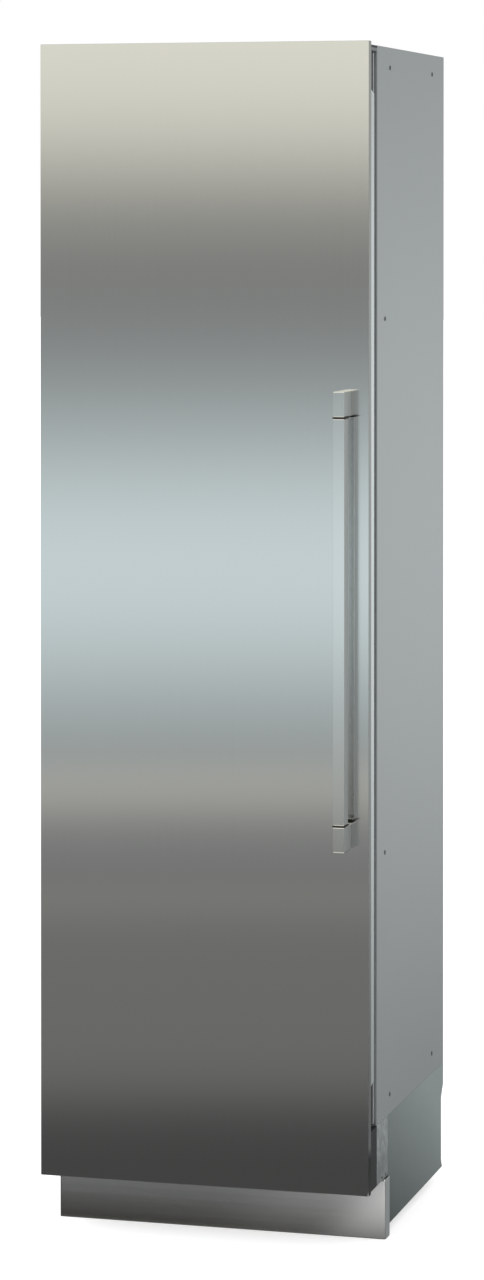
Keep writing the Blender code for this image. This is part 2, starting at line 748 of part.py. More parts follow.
def make_door_insulation():
    """The foam that fills the door between its pan and its liner."""
    inner = SHEET + GAP
    low = (-HALF_DOOR + inner, back(PANEL_THICKNESS + GAP + inner), DOOR_BOTTOM + inner)
    high = (HALF_DOOR - inner, back(SHELL_BACK), DOOR_TOP - inner)
    foam = add_box("door_insulation", low, high)
    plug_front = back(SHELL_BACK - LINER_WALL)
    plug_back = back(DOOR_INNER_DEPTH - LINER_WALL - GAP)
    outline = plug_outline(LINER_WALL + GAP)
    fuse(foam, add_prism("door_foam_plug", outline, plug_front, plug_back, "Y", CUTTERS))
    depth = HINGE_PIN_REACH + HINGE_BUSH_WALL + GAP
    cut(foam, bush_block("foam_bush_bottom", DOOR_BOTTOM - OVERRUN, DOOR_BOTTOM + depth))
    cut(foam, bush_block("foam_bush_top", DOOR_TOP - depth, DOOR_TOP + OVERRUN))
    return paint(foam, "foam")


def make_door_gasket():
    """The magnetic seal, a bellows ring between the door liner and the cabinet's face."""
    front = FLANGE_BACK + GAP
    rear = CABINET_DEPTH - GAP
    middle = (front + rear) / 2
    section = [
        (0, front),
        (0, front + GASKET_LIP),
        (GASKET_LIP, middle),
        (0, rear - GASKET_LIP),
        (0, rear),
        (GASKET_WIDTH - GASKET_LIP, rear),
        (GASKET_WIDTH - GASKET_LIP, rear - GASKET_LIP),
        (GASKET_WIDTH - GASKET_LIP * 2, middle),
        (GASKET_WIDTH - GASKET_LIP, front + GASKET_LIP),
        (GASKET_WIDTH - GASKET_LIP, front),
    ]
    half_width = HALF_DOOR - GASKET_INSET
    low = DOOR_BOTTOM + GASKET_INSET
    high = DOOR_TOP - GASKET_INSET
    return paint(add_mitred_frame("door_gasket", section, half_width, low, high), "gasket_rubber")


def make_edge_strips():
    """An aluminium clamping strip on each upright edge of the door, with slanted ends."""
    strips = []
    front = PANEL_THICKNESS + GAP
    rear = front + STRIP_DEPTH
    outline = [
        (back(front), STRIP_BOTTOM),
        (back(rear), STRIP_BOTTOM + STRIP_SLANT),
        (back(rear), STRIP_TOP - STRIP_SLANT),
        (back(front), STRIP_TOP),
    ]
    inner = HALF_DOOR + GAP
    outer = inner + STRIP_THICKNESS
    strips.append(add_prism("edge_strip_right", outline, inner, outer, "X"))
    strips.append(add_prism("edge_strip_left", outline, -outer, -inner, "X"))
    return [paint(strip, "aluminium") for strip in strips]


def make_handle():
    """A square bar between two posts, set off by thin black rings."""
    half = HANDLE_WIDTH / 2
    front = back(-HANDLE_REACH)
    panel_face = back(-GAP)
    bar_back = front + HANDLE_BAR_DEPTH
    ring_height = HANDLE_RING_HEIGHT
    pieces = []
    spans = {
        "lower": (HANDLE_BOTTOM, HANDLE_BOTTOM + HANDLE_POST_HEIGHT),
        "upper": (HANDLE_TOP - HANDLE_POST_HEIGHT, HANDLE_TOP),
    }
    for label, (low, high) in spans.items():
        post_low = (HANDLE_X - half, front, low)
        post_high = (HANDLE_X + half, panel_face, high)
        post = add_box("handle_post_" + label, post_low, post_high)
        pieces.append(paint(bevel(post, HANDLE_BEVEL), "brushed_steel"))
    reach = half + HANDLE_RING_PROUD
    lower_ring = spans["lower"][1] + GAP
    upper_ring = spans["upper"][0] - GAP - ring_height
    for label, low in (("lower", lower_ring), ("upper", upper_ring)):
        ring_low = (HANDLE_X - reach, front, low)
        ring_high = (HANDLE_X + reach, bar_back + HANDLE_RING_PROUD, low + ring_height)
        ring = add_box("handle_ring_" + label, ring_low, ring_high)
        pieces.append(paint(ring, "black_plastic"))
    margin = HANDLE_POST_HEIGHT + ring_height + GAP * 2
    bar_low = (HANDLE_X - half, front, HANDLE_BOTTOM + margin)
    bar_high = (HANDLE_X + half, bar_back, HANDLE_TOP - margin)
    bar = bevel(add_box("handle_bar", bar_low, bar_high), HANDLE_BEVEL)
    pieces.append(paint(bar, "brushed_steel"))
    return pieces


def make_hinge_bushes():
    """A flanged bush in the top and the bottom edge of the door."""
    bushes = []
    inner = HINGE_PIN_RADIUS + PIN_RUNNING_GAP
    outer = inner + HINGE_BUSH_WALL
    flange = outer + HINGE_BUSH_FLANGE_WALL
    reach = HINGE_PIN_REACH
    lip_height = HINGE_BUSH_FLANGE
    for label, level, rise in (("top", DOOR_TOP, -1), ("bottom", DOOR_BOTTOM, 1)):
        name = "hinge_bush_" + label
        edge = Vector((HINGE_X, back(HINGE_DEPTH), level))
        inwards = Vector((0, 0, rise))
        bush = add_cylinder(name, edge + inwards * reach / 2, outer, reach)
        lip_centre = edge - inwards * (GAP + lip_height / 2)
        lip = add_cylinder(name + "_lip", lip_centre, flange, lip_height, collection=CUTTERS)
        neck = add_cylinder(name + "_neck", edge, outer, lip_height * 2, collection=CUTTERS)
        fuse(bush, neck, lip)
        bore_length = (reach + OVERRUN) * 2
        bore = add_cylinder(name + "_bore", edge, inner, bore_length, collection=CUTTERS)
        bushes.append(paint(cut(bush, bore), "black_plastic"))
    return bushes


def hinge_outline(right, rear):
    """A plate in plan: a round nose about the pin, then straight back."""
    centre = (HINGE_X, back(HINGE_DEPTH))
    front = centre[1] - HINGE_NOSE_RADIUS
    left = centre[0] - HINGE_NOSE_RADIUS
    nose = arc(centre, HINGE_NOSE_RADIUS, 1 / 2, 3 / 4)
    return nose + [(right, front), (right, rear), (left, rear)]


def make_hinges():
    """Cranked plates with a fixed pin, one on the cabinet's roof and one on the base."""
    right = HINGE_X - HINGE_NOSE_RADIUS + HINGE_PLATE_LENGTH
    centre_y = back(HINGE_DEPTH)
    roof = BODY_HEIGHT + GAP
    top_outline = hinge_outline(right, back(CABINET_DEPTH + HINGE_TOP_REACH))
    top = add_prism("hinge_top", top_outline, roof, roof + HINGE_PLATE, "Z")
    pin_bottom = DOOR_TOP - HINGE_PIN_REACH
    pin_length = roof + HINGE_PLATE / 2 - pin_bottom
    pin_centre = (HINGE_X, centre_y, pin_bottom + pin_length / 2)
    top_pin = add_cylinder("top_pin", pin_centre, HINGE_PIN_RADIUS, pin_length, collection=CUTTERS)
    paint(fuse(top, top_pin), "zinc_steel")

    plate_top = DOOR_BOTTOM - GAP * 3 - HINGE_BUSH_FLANGE
    plate_rear = back(MEMBER_FRONT - GAP)
    low_outline = hinge_outline(right, plate_rear)
    bottom = add_prism("hinge_bottom", low_outline, plate_top - HINGE_PLATE, plate_top, "Z")
    leg_low = (HINGE_X, plate_rear - HINGE_PLATE, plate_top - HINGE_LEG_DROP)
    leg_high = (right, plate_rear, plate_top - HINGE_PLATE / 2)
    leg = add_box("bottom_leg", leg_low, leg_high, CUTTERS)
    pin_top = DOOR_BOTTOM + HINGE_PIN_REACH
    low_length = pin_top - plate_top + HINGE_PLATE / 2
    low_centre = (HINGE_X, centre_y, pin_top - low_length / 2)
    low_pin = add_cylinder("bottom_pin", low_centre, HINGE_PIN_RADIUS, low_length, collection=CUTTERS)
    paint(fuse(bottom, leg, low_pin), "zinc_steel")


def make_cabinet_sheets():
    """The painted sides with their front returns, the roof with its anti-tip pad, the beaded back."""
    front = back(CABINET_DEPTH)
    rear = back(OVERALL_DEPTH)
    corner = SHEET_CORNER
    flange_x = HALF_BODY - FLANGE_WIDTH
    outer_arc = arc((HALF_BODY - corner, front + corner), corner, 3 / 4, 1)
    inner_arc = arc((HALF_BODY - corner, front + corner), corner - SHEET, 1, 3 / 4)
    outline = [(flange_x, front)] + outer_arc
    outline += [(HALF_BODY, rear), (HALF_BODY - SHEET, rear)] + inner_arc + [(flange_x, front + SHEET)]
    right = add_prism("side_panel_right", outline, BASE_HEIGHT, BODY_HEIGHT, "Z")
    left = add_prism("side_panel_left", mirrored(outline), BASE_HEIGHT, BODY_HEIGHT, "Z")
    paint(right, "grey_sheet")
    paint(left, "grey_sheet")

    inner_x = HALF_BODY - SHEET - GAP
    roof_low = (-inner_x, front + SHEET_CORNER, BODY_HEIGHT - SHEET)
    roof_high = (inner_x, rear - SHEET - BEAD_RISE - GAP * 2, BODY_HEIGHT)
    roof = add_box("top_panel", roof_low, roof_high)
    lap_x = flange_x - GAP
    apron_low = (-lap_x, front, BODY_HEIGHT - FLANGE_WIDTH)
    apron_high = (lap_x, front + SHEET, BODY_HEIGHT)
    apron = add_box("roof_apron", apron_low, apron_high, CUTTERS)
    joint_low = (-lap_x, front, BODY_HEIGHT - SHEET)
    joint_high = (lap_x, front + SHEET_CORNER + SHEET, BODY_HEIGHT)
    pad_back = rear - TIP_PAD_FROM_BACK
    pad_low = (-TIP_PAD_WIDTH / 2, pad_back - TIP_PAD_LENGTH, BODY_HEIGHT - SHEET / 2)
    pad_high = (TIP_PAD_WIDTH / 2, pad_back, BODY_HEIGHT + TIP_PAD_RISE)
    pad = add_box("tip_pad", pad_low, pad_high, CUTTERS)
    fuse(roof, apron, add_box("roof_joint", joint_low, joint_high, CUTTERS), pad)
    paint(roof, "grey_sheet")

    flat = rear - BEAD_RISE
    wave = [(-inner_x, flat)]
    for place in (-1, 0, 1):
        middle = place * BEAD_SPACING
        half = BEAD_WIDTH / 2
        wave += [(middle - half, flat), (middle - half + BEAD_SLOPE, rear)]
        wave += [(middle + half - BEAD_SLOPE, rear), (middle + half, flat)]
    wave += [(inner_x, flat)]
    inner_wave = [(x, y - SHEET) for x, y in reversed(wave)]
    sheet = add_prism("back_panel", wave + inner_wave, BASE_HEIGHT, BODY_HEIGHT, "Z")
    paint(sheet, "grey_sheet")


def cavity_outline(reach):
    """The cavity's opening in (X, Z), with round corners, widened by a reach."""
    low = (-HALF_CAVITY - reach, CAVITY_BOTTOM - reach)
    high = (HALF_CAVITY + reach, CAVITY_TOP + reach)
    return rounded_outline(low, high, LINER_CORNER + reach)


def make_inner_liner():
    """The white moulded cavity with a front flange and a ledge for each shelf."""
    front = back(CABINET_DEPTH)
    rear = back(CAVITY_BACK)
    liner = add_prism("inner_liner", cavity_outline(LINER_WALL), front, rear + LINER_WALL, "Y")
    flange_x = HALF_BODY - FLANGE_WIDTH - GAP
    flange_low = (-flange_x, front, BASE_HEIGHT + GAP)
    flange_high = (flange_x, front + LINER_WALL, BODY_HEIGHT - FLANGE_WIDTH - GAP)
    fuse(liner, add_box("liner_flange", flange_low, flange_high, CUTTERS))
    cut(liner, add_prism("liner_room", cavity_outline(0), front - OVERRUN, rear, "Y", CUTTERS))
    for label, level in SHELF_HEIGHTS.items():
        for side, where in ((-1, "left"), (1, "right")):
            inner_face = side * (HALF_CAVITY - LEDGE_RISE)
            outer_face = side * (HALF_CAVITY + LINER_WALL / 2)
            low = (min(inner_face, outer_face), back(LEDGE_FRONT), level - GAP - LEDGE_HEIGHT)
            high = (max(inner_face, outer_face), back(LEDGE_BACK), level - GAP)
            fuse(liner, add_box("ledge_%s_%s" % (label, where), low, high, CUTTERS))
    return paint(liner, "white_plastic")


def make_cabinet_insulation():
    """The foam walls between the outer sheets and the liner."""
    side = HALF_BODY - SHEET - GAP
    low = (-side, back(CABINET_DEPTH) + SHEET_CORNER, BASE_HEIGHT + GAP)
    high = (side, back(OVERALL_DEPTH) - BEAD_RISE - SHEET - GAP, BODY_HEIGHT - SHEET - GAP)
    foam = add_box("cabinet_insulation", low, high)
    reach = LINER_WALL + GAP
    room_front = back(CABINET_DEPTH) - OVERRUN
    room_back = back(CAVITY_BACK) + reach
    cut(foam, add_prism("foam_room", cavity_outline(reach), room_front, room_back, "Y", CUTTERS))
    return paint(foam, "foam")


def make_top_trim():
    """The black strip that closes the gap over the door, beside the hinge pin."""
    low_z = BODY_HEIGHT - TRIM_DROP
    left = HINGE_X + TRIM_LEFT
    right = HALF_BODY
    rear = back(CABINET_DEPTH) - GAP
    trim = add_box("top_trim", (left, back(TRIM_FRONT), low_z), (right, rear, BODY_HEIGHT - GAP))
    room_low = (left + TRIM_WALL, back(TRIM_FRONT + TRIM_WALL), low_z + TRIM_WALL)
    room_high = (right - TRIM_WALL, rear - TRIM_WALL, BODY_HEIGHT + OVERRUN)
    return paint(cut(trim, add_box("trim_room", room_low, room_high, CUTTERS)), "black_plastic")


def make_shelves():
    """Three glass shelves, each with a moulded nosing along its front edge."""
    half = HALF_CAVITY - SHELF_SIDE_GAP
    for label, level in SHELF_HEIGHTS.items():
        front = SHELF_FRONT + SHELF_TRIM_LIP + GAP
        low = (-half, back(front), level)
        high = (half, back(SHELF_BACK), level + GLASS)
        paint(add_box("glass_shelf_" + label, low, high), "glass")
        lip = SHELF_TRIM_LIP
        bottom = level - GAP - lip
        top = level + GLASS
        nose_back = SHELF_FRONT + SHELF_TRIM_DEPTH
        slot_front = SHELF_FRONT + lip
        outline = [
            (back(SHELF_FRONT), bottom + lip / 2),
            (back(SHELF_FRONT + lip / 2), bottom),
            (back(nose_back), bottom),
            (back(nose_back), level - GAP),
            (back(slot_front), level - GAP),
            (back(slot_front), top),
            (back(SHELF_FRONT + lip / 2), top),
            (back(SHELF_FRONT), top - lip / 2),
        ]
        nose_half = HALF_CAVITY - LEDGE_RISE - GAP
        paint(add_prism("shelf_trim_" + label, outline, -nose_half, nose_half, "X"), "white_plastic")


def make_evaporator_cover():
    """The white duct cover at the back of the cavity, with its fan grille and air slots."""
    half = HALF_CAVITY - GAP
    low = Vector((-half, back(COVER_FRONT), COVER_BOTTOM))
    high = Vector((half, back(COVER_FRONT + COVER_DEPTH), COVER_TOP))
    cover = add_box("evaporator_cover", low, high)
    wall = Vector((COVER_WALL, COVER_WALL, COVER_WALL))
    room_high = high - wall
    room_high.y = high.y + OVERRUN
    cut(cover, add_box("cover_room", low + wall, room_high, CUTTERS))
    through = (low.y - OVERRUN, low.y + COVER_WALL + OVERRUN)
    slot_count = int(GRILLE_RADIUS * 2 / GRILLE_PITCH)
    first = FAN_HEIGHT - GRILLE_PITCH * (slot_count - 1) / 2
    for index in range(slot_count):
        level = first + GRILLE_PITCH * index
        reach = math.sqrt(max(GRILLE_RADIUS ** 2 - (level - FAN_HEIGHT) ** 2, GRILLE_SLOT ** 2))
        slot_low = (-reach, through[0], level - GRILLE_SLOT / 2)
        slot_high = (reach, through[1], level + GRILLE_SLOT / 2)
        cut(cover, add_box("grille_slot_%d" % index, slot_low, slot_high, CUTTERS))
    return_low = (-RETURN_SLOT_LENGTH / 2, through[0], RETURN_SLOT_BOTTOM)
    return_high = (RETURN_SLOT_LENGTH / 2, through[1], RETURN_SLOT_BOTTOM + RETURN_SLOT_HEIGHT)
    slots = add_box("return_slots", return_low, return_high, CUTTERS)
    cut(cover, repeat(slots, RETURN_SLOT_COUNT, (0, 0, RETURN_SLOT_PITCH)))
    for side, where in ((-1, "left"), (1, "right")):
        for label, level in SHELF_HEIGHTS.items():
            middle = side * OUTLET_SPREAD
            outlet_low = (middle - OUTLET_LENGTH / 2, through[0], level + OUTLET_RISE)
            outlet_high = (middle + OUTLET_LENGTH / 2, through[1], level + OUTLET_RISE + OUTLET_HEIGHT)
            cut(cover, add_box("outlet_%s_%s" % (label, where), outlet_low, outlet_high, CUTTERS))
    return paint(cover, "white_plastic")


def serpentine(width, bottom, height, rows, depth):
    """Points of a tube that runs from side to side and climbs in half-round bends."""
    pitch = height / rows
    bend = pitch / 2
    run = width / 2
    points = []
    for row in range(rows):
        level = bottom + pitch * (row + 1 / 2)
        side = 1 if row % 2 == 0 else -1
        points.append((-side * run, depth, level))
        if row < rows - 1:
            turned = arc((0, level + bend), bend, -1 / 4, 1 / 4)
            points += [(side * (run + across), depth, up) for across, up in turned]
        else:
            points.append((side * run, depth, level))
    return points


def add_finned_coil(name, centre_x, bottom, size, fins, rows, fin_depths):
    """A tube wound to and fro through a row of thin upright fins."""
    width, height = size
    fin_front, fin_back = fin_depths
    margin = COIL_FIN_THICKNESS * 2
    fin_low = (centre_x - width / 2 + margin, back(fin_front), bottom)
    fin_high = (fin_low[0] + COIL_FIN_THICKNESS, back(fin_back), bottom + height)
    spacing = (width - margin * 2 - COIL_FIN_THICKNESS) / (fins - 1)
    row = repeat(add_box(name + "_fins", fin_low, fin_high, CUTTERS), fins, (spacing, 0, 0))
    path = serpentine(width, bottom, height, rows, back((fin_front + fin_back) / 2))
    path = [(centre_x + x, y, z) for x, y, z in path]
    coil = add_tube(name, path, COIL_TUBE_RADIUS)
    return boolean(coil, row, "UNION", "MANIFOLD")


def make_evaporator():
    """The finned evaporator coil, seated on the liner's back wall behind its cover."""
    rear = CAVITY_BACK - GAP
    size = (COIL_WIDTH, COIL_HEIGHT)
    depths = (rear - COIL_DEPTH, rear)
    coil = add_finned_coil("evaporator", 0, COIL_BOTTOM, size, COIL_FIN_COUNT, COIL_ROW_COUNT, depths)
    return paint(coil, "aluminium")


def add_rotor(name, centre, radius, hub_length):
    """An axial fan: a hub along Y with a bore, and tilted paddle blades."""
    rotor = add_cylinder(name, centre, FAN_HUB_RADIUS, hub_length, "Y")
    root = FAN_HUB_RADIUS * math.cos(FAN_BLADE_PITCH) / 2
    chord = hub_length / 2
    tip = radius * math.cos(math.asin(chord / radius))
    outline = [(root, -chord), (tip, -chord), (tip, chord), (root, chord)]
    half = FAN_BLADE_THICKNESS / 2
    for index in range(FAN_BLADE_COUNT):
        blade = add_prism("%s_blade_%d" % (name, index), outline, -half, half, "Z", CUTTERS)
        tilt = Matrix.Rotation(FAN_BLADE_PITCH, 4, "X")
        spin = Matrix.Rotation(math.tau * index / FAN_BLADE_COUNT, 4, "Y")
        blade.data.transform(spin @ tilt)
        blade.location = centre
        fuse(rotor, blade)
    bore_radius = FAN_SHAFT_RADIUS + PIN_RUNNING_GAP
    bore_length = hub_length + OVERRUN * 2
    bore = add_cylinder(name + "_bore", centre, bore_radius, bore_length, "Y", collection=CUTTERS)
    return paint(cut(rotor, bore), "black_plastic")


def make_evaporator_fan():
    """The circulation fan behind the grille, and the motor that carries it."""
    hub_centre = (0, back(FAN_FRONT) + FAN_HUB_LENGTH / 2, FAN_HEIGHT)
    rotor = add_rotor("evaporator_fan", hub_centre, FAN_RADIUS, FAN_HUB_LENGTH)
    motor_front = back(FAN_FRONT + FAN_HUB_LENGTH) + GAP
    motor_back = back(CAVITY_BACK) - GAP
    motor_centre = (0, (motor_front + motor_back) / 2, FAN_HEIGHT)
    motor = add_cylinder("fan_motor", motor_centre, MOTOR_RADIUS, motor_back - motor_front, "Y")
    shaft_front = back(FAN_FRONT)
    shaft_centre = (0, (shaft_front + motor_centre[1]) / 2, FAN_HEIGHT)
    shaft_length = motor_centre[1] - shaft_front
    shaft = add_cylinder("fan_shaft", shaft_centre, FAN_SHAFT_RADIUS, shaft_length, "Y", collection=CUTTERS)
    paint(fuse(motor, shaft), "zinc_steel")
    carry("evaporator_fan_axis", hub_centre, [rotor])


def make_lights_and_controls():
    """A light column on each side wall and the control panel under the ceiling."""
    for side, where in ((-1, "left"), (1, "right")):
        wall_face = side * (HALF_CAVITY - GAP)
        front_face = side * (HALF_CAVITY - LIGHT_RISE)
        low = (min(wall_face, front_face), back(LIGHT_FRONT), LIGHT_BOTTOM)
        high = (max(wall_face, front_face), back(LIGHT_FRONT + LIGHT_WIDTH), LIGHT_TOP)
        paint(add_box("light_column_" + where, low, high), "light_diffuser")
    top = CAVITY_TOP - GAP
    bottom = top - CONTROL_HEIGHT
    front = back(CONTROL_FRONT)
    rear = back(CONTROL_FRONT + CONTROL_DEPTH)
    outline = [
        (front, top),
        (front, top - CONTROL_NOSE),
        (rear - CONTROL_NOSE, bottom),
        (rear, bottom),
        (rear, top),
    ]
    panel = add_prism("control_panel", outline, -CONTROL_HALF_WIDTH, CONTROL_HALF_WIDTH, "X")
    paint(panel, "white_plastic")


def make_ice_maker():
    """The hood under the ceiling and the ice tray that twists in it to drop its cubes."""
    left = ICE_CENTRE_X - ICE_HOOD_HALF_WIDTH
    right = ICE_CENTRE_X + ICE_HOOD_HALF_WIDTH
    hood_low = Vector((left, back(ICE_HOOD_FRONT), ICE_HOOD_BOTTOM))
    hood_high = Vector((right, back(ICE_HOOD_BACK), CAVITY_TOP - GAP))
    hood = add_box("ice_maker_hood", hood_low, hood_high)
    wall = Vector((ICE_HOOD_WALL, ICE_HOOD_WALL, ICE_HOOD_WALL))
    room_low = hood_low + wall
    room_low.z = hood_low.z - OVERRUN
    cut(hood, add_box("hood_room", room_low, hood_high - wall, CUTTERS))
    length = ICE_HOOD_BACK - ICE_HOOD_FRONT
    middle = (ICE_CENTRE_X, back(ICE_HOOD_FRONT + length / 2), ICE_AXIS_HEIGHT)
    bore_radius = TRAY_PIN_RADIUS + PIN_RUNNING_GAP
    cut(hood, add_cylinder("hood_bore", middle, bore_radius, length + OVERRUN, "Y", collection=CUTTERS))
    paint(hood, "white_plastic")

    rim = ICE_AXIS_HEIGHT + TRAY_RIM_ABOVE_AXIS
    tray_front = back(ICE_HOOD_FRONT + ICE_HOOD_WALL + TRAY_END_GAP)
    tray_back = back(ICE_HOOD_BACK - ICE_HOOD_WALL - TRAY_END_GAP)
    tray_low = (ICE_CENTRE_X - TRAY_HALF_WIDTH, tray_front, rim - TRAY_DEPTH)
    tray_high = (ICE_CENTRE_X + TRAY_HALF_WIDTH, tray_back, rim)
    tray = add_box("ice_tray", tray_low, tray_high)
    pin_length = length - ICE_HOOD_WALL
    pin = add_cylinder("tray_pin", middle, TRAY_PIN_RADIUS, pin_length, "Y", collection=CUTTERS)
    fuse(tray, pin)
    pitch_x = (TRAY_HALF_WIDTH * 2 - TRAY_CUP_WALL) / TRAY_ROWS
    pitch_y = (tray_back - tray_front - TRAY_CUP_WALL) / TRAY_CUPS_PER_ROW
    cup_size = Vector((pitch_x - TRAY_CUP_WALL, pitch_y - TRAY_CUP_WALL, CUP_DEPTH + OVERRUN))
    cup_low = Vector((tray_low[0] + TRAY_CUP_WALL, tray_front + TRAY_CUP_WALL, rim - CUP_DEPTH))
    cup = add_box("ice_cups", cup_low, cup_low + cup_size, CUTTERS)
    for corner in cup.data.vertices:
        if corner.co.z < 0:
            corner.co.x *= CUP_TAPER_SHARE
            corner.co.y *= CUP_TAPER_SHARE
    repeat(cup, TRAY_CUPS_PER_ROW, (0, pitch_y, 0))
    repeat(cup, TRAY_ROWS, (pitch_x, 0, 0))
    paint(cut(tray, cup), "white_plastic")
    carry("ice_tray_axis", middle, [tray])


def grip_outline(front, rim):
    """A finger grip in section: a lip that curls forward and down from the rim."""
    reach = GRIP_REACH
    inner = DRAWER_WALL
    return [
        (front + inner / 2, rim),
        (front - reach, rim),
        (front - reach, rim - GRIP_HEIGHT),
        (front - reach + inner, rim - GRIP_HEIGHT),
        (front - reach + inner, rim - inner),
        (front + inner / 2, rim - inner),
    ]


def make_ice_bin():
    """The ice bin on the top shelf, under the twisting tray."""
    floor = SHELF_HEIGHTS["upper"] + GLASS + GAP
    low = (ICE_CENTRE_X - BIN_HALF_WIDTH, back(BIN_FRONT + GRIP_REACH), floor)
    high = (ICE_CENTRE_X + BIN_HALF_WIDTH, back(BIN_BACK), floor + BIN_HEIGHT)
    ice_bin = add_tub("ice_bin", low, high, BIN_WALL, TUB_CORNER)
    half = BIN_HALF_WIDTH - TUB_CORNER
    grip = grip_outline(low[1], high[2])
    bar = add_prism("ice_bin_grip", grip, ICE_CENTRE_X - half, ICE_CENTRE_X + half, "X", CUTTERS)
    paint(fuse(ice_bin, bar), "clear_plastic")
    carry("ice_bin_slide", (ICE_CENTRE_X, low[1], floor), [ice_bin])


def make_drawers():
    """Two deep drawers that hang by side lips on steel runners."""
    half = HALF_CAVITY - GAP - RUNNER_WIDTH - DRAWER_SIDE_GAP
    for label, floor in DRAWER_FLOORS.items():
        rim = floor + DRAWER_HEIGHTS[label]
        lip_bottom = rim - DRAWER_LIP_DROP
        front = back(DRAWER_FRONT)
        low = (-half, front, floor)
        high = (half, back(DRAWER_BACK), rim)
        drawer = add_tub("drawer_" + label, low, high, DRAWER_WALL, TUB_CORNER)
        bar_half = half - TUB_CORNER
        grip = grip_outline(front, rim)
        fuse(drawer, add_prism(drawer.name + "_grip", grip, -bar_half, bar_half, "X", CUTTERS))
        for side, where in ((-1, "left"), (1, "right")):
            inner = side * (half - DRAWER_WALL / 2)
            outer = side * (half + DRAWER_SIDE_GAP + RUNNER_WIDTH - RUNNER_WALL)
            lip_low = (min(inner, outer), back(RUNNER_FRONT + TUB_CORNER), lip_bottom)
            lip_high = (max(inner, outer), back(DRAWER_BACK - TUB_CORNER), lip_bottom + DRAWER_LIP)
            fuse(drawer, add_box("%s_lip_%s" % (drawer.name, where), lip_low, lip_high, CUTTERS))
        paint(drawer, "clear_plastic")
        carry(drawer.name + "_slide", (0, front, floor), [drawer])
        make_runner_pair(label, lip_bottom - GAP)


def make_runner_pair(label, top):
    """The left and right runners of one drawer, tied by a bar behind it."""
    wall_face = HALF_CAVITY - GAP
    inner = wall_face - RUNNER_WIDTH
    bottom = top - RUNNER_HEIGHT
    wall = RUNNER_WALL
    outline = [
        (wall_face, bottom),
        (wall_face, top),
        (inner, top),
        (inner, top - wall),
        (wall_face - wall, top - wall),
        (wall_face - wall, bottom + wall),
        (inner, bottom + wall),
        (inner, bottom),
    ]
    front = back(RUNNER_FRONT)
    rear = back(RUNNER_BACK)
    runners = add_prism("drawer_runners_" + label, outline, front, rear, "Y")
    left = add_prism("runner_left_" + label, mirrored(outline), front, rear, "Y", CUTTERS)
    bar_low = (-wall_face + wall / 2, rear - RUNNER_BAR, bottom)
    bar_high = (wall_face - wall / 2, rear, bottom + RUNNER_BAR)
    bar = add_box("runner_bar_" + label, bar_low, bar_high, CUTTERS)
    paint(fuse(runners, bar, left), "zinc_steel")


def make_door_racks():
    """Two clear racks that hang between the dykes of the door liner."""
    racks = []
    front = back(DOOR_INNER_DEPTH + GAP)
    for label, floor in RACK_FLOORS.items():
        half = RACK_HALF_WIDTH
        low = (-half, front, floor)
        high = (half, front + RACK_DEPTH, floor + RACK_HEIGHT)
        rack = add_tub("door_rack_" + label, low, high, RACK_WALL, RACK_CORNER)
        racks.append(paint(rack, "clear_plastic"))
    return racks


def make_base_sides():
    """The moulded side plates of the base, stepped in at the lower rear."""
    rear = OVERALL_DEPTH
    foot = rear - BASE_STEP
    outline = [
        (back(BASE_SIDE_FRONT), BASE_SIDE_BOTTOM),
        (back(foot + BASE_FLARE), BASE_SIDE_BOTTOM),
        (back(foot), BASE_FLARE_TOP),
        (back(foot), BASE_STEP_BOTTOM),
        (back(rear), BASE_STEP_TOP),
        (back(rear), BASE_HEIGHT - GAP),
        (back(BASE_SIDE_FRONT), BASE_HEIGHT - GAP),
    ]
    inner = HALF_BODY - BASE_SIDE_WALL
    paint(add_prism("base_side_right", outline, inner, HALF_BODY, "X"), "base_plastic")
    paint(add_prism("base_side_left", outline, -HALF_BODY, -inner, "X"), "base_plastic")


def make_cross_member():
    """The folded front beam of the base, which carries the lower hinge."""
    low = (-HALF_BODY, back(MEMBER_FRONT), MEMBER_BOTTOM)
    high = (HALF_BODY, back(BASE_SIDE_FRONT) - GAP, BASE_HEIGHT - GAP)
    member = add_box("cross_member", low, high)
    wall = MEMBER_WALL
    room_low = (low[0] + wall, low[1] + wall, low[2] - OVERRUN)
    room_high = (high[0] - wall, high[1] - wall, high[2] - wall)
    return paint(cut(member, add_box("member_room", room_low, room_high, CUTTERS)), "zinc_steel")


def make_base_front():
    """The dark cover behind the lower edge of the door panel, with its air slots."""
    rear = back(MEMBER_FRONT) - GAP
    low = (HINGE_X, back(COVER_PLATE_FRONT), MEMBER_BOTTOM)
    high = (HALF_BODY, rear, BASE_HEIGHT - GAP)
    plate = add_box("base_front", low, high)
    wall = COVER_PLATE_WALL
    room_low = (low[0] + wall, low[1] + wall, low[2] - OVERRUN)
    room_high = (high[0] - wall, rear + OVERRUN, high[2] - wall)
    cut(plate, add_box("base_front_room", room_low, room_high, CUTTERS))
    slot_top = AIR_SLOT_PITCH * (AIR_SLOT_COUNT - 1) + AIR_SLOT_HEIGHT
    slot_bottom = (MEMBER_BOTTOM + BASE_HEIGHT - slot_top) / 2
    slot_low = (-AIR_SLOT_LENGTH / 2, low[1] - OVERRUN, slot_bottom)
    slot_high = (AIR_SLOT_LENGTH / 2, low[1] + OVERRUN, slot_bottom + AIR_SLOT_HEIGHT)
    slots = repeat(add_box("air_slots", slot_low, slot_high, CUTTERS), AIR_SLOT_COUNT, (0, 0, AIR_SLOT_PITCH))
    cut(plate, slots)
    right = HINGE_X - HINGE_NOSE_RADIUS + HINGE_PLATE_LENGTH + GAP
    notch_low = (low[0] - OVERRUN, rear - HINGE_PLATE - GAP * 2, low[2] - OVERRUN)
    notch_high = (right, rear + OVERRUN, high[2] + OVERRUN)
    cut(plate, add_box("hinge_notch", notch_low, notch_high, CUTTERS))
    return paint(plate, "black_plastic")


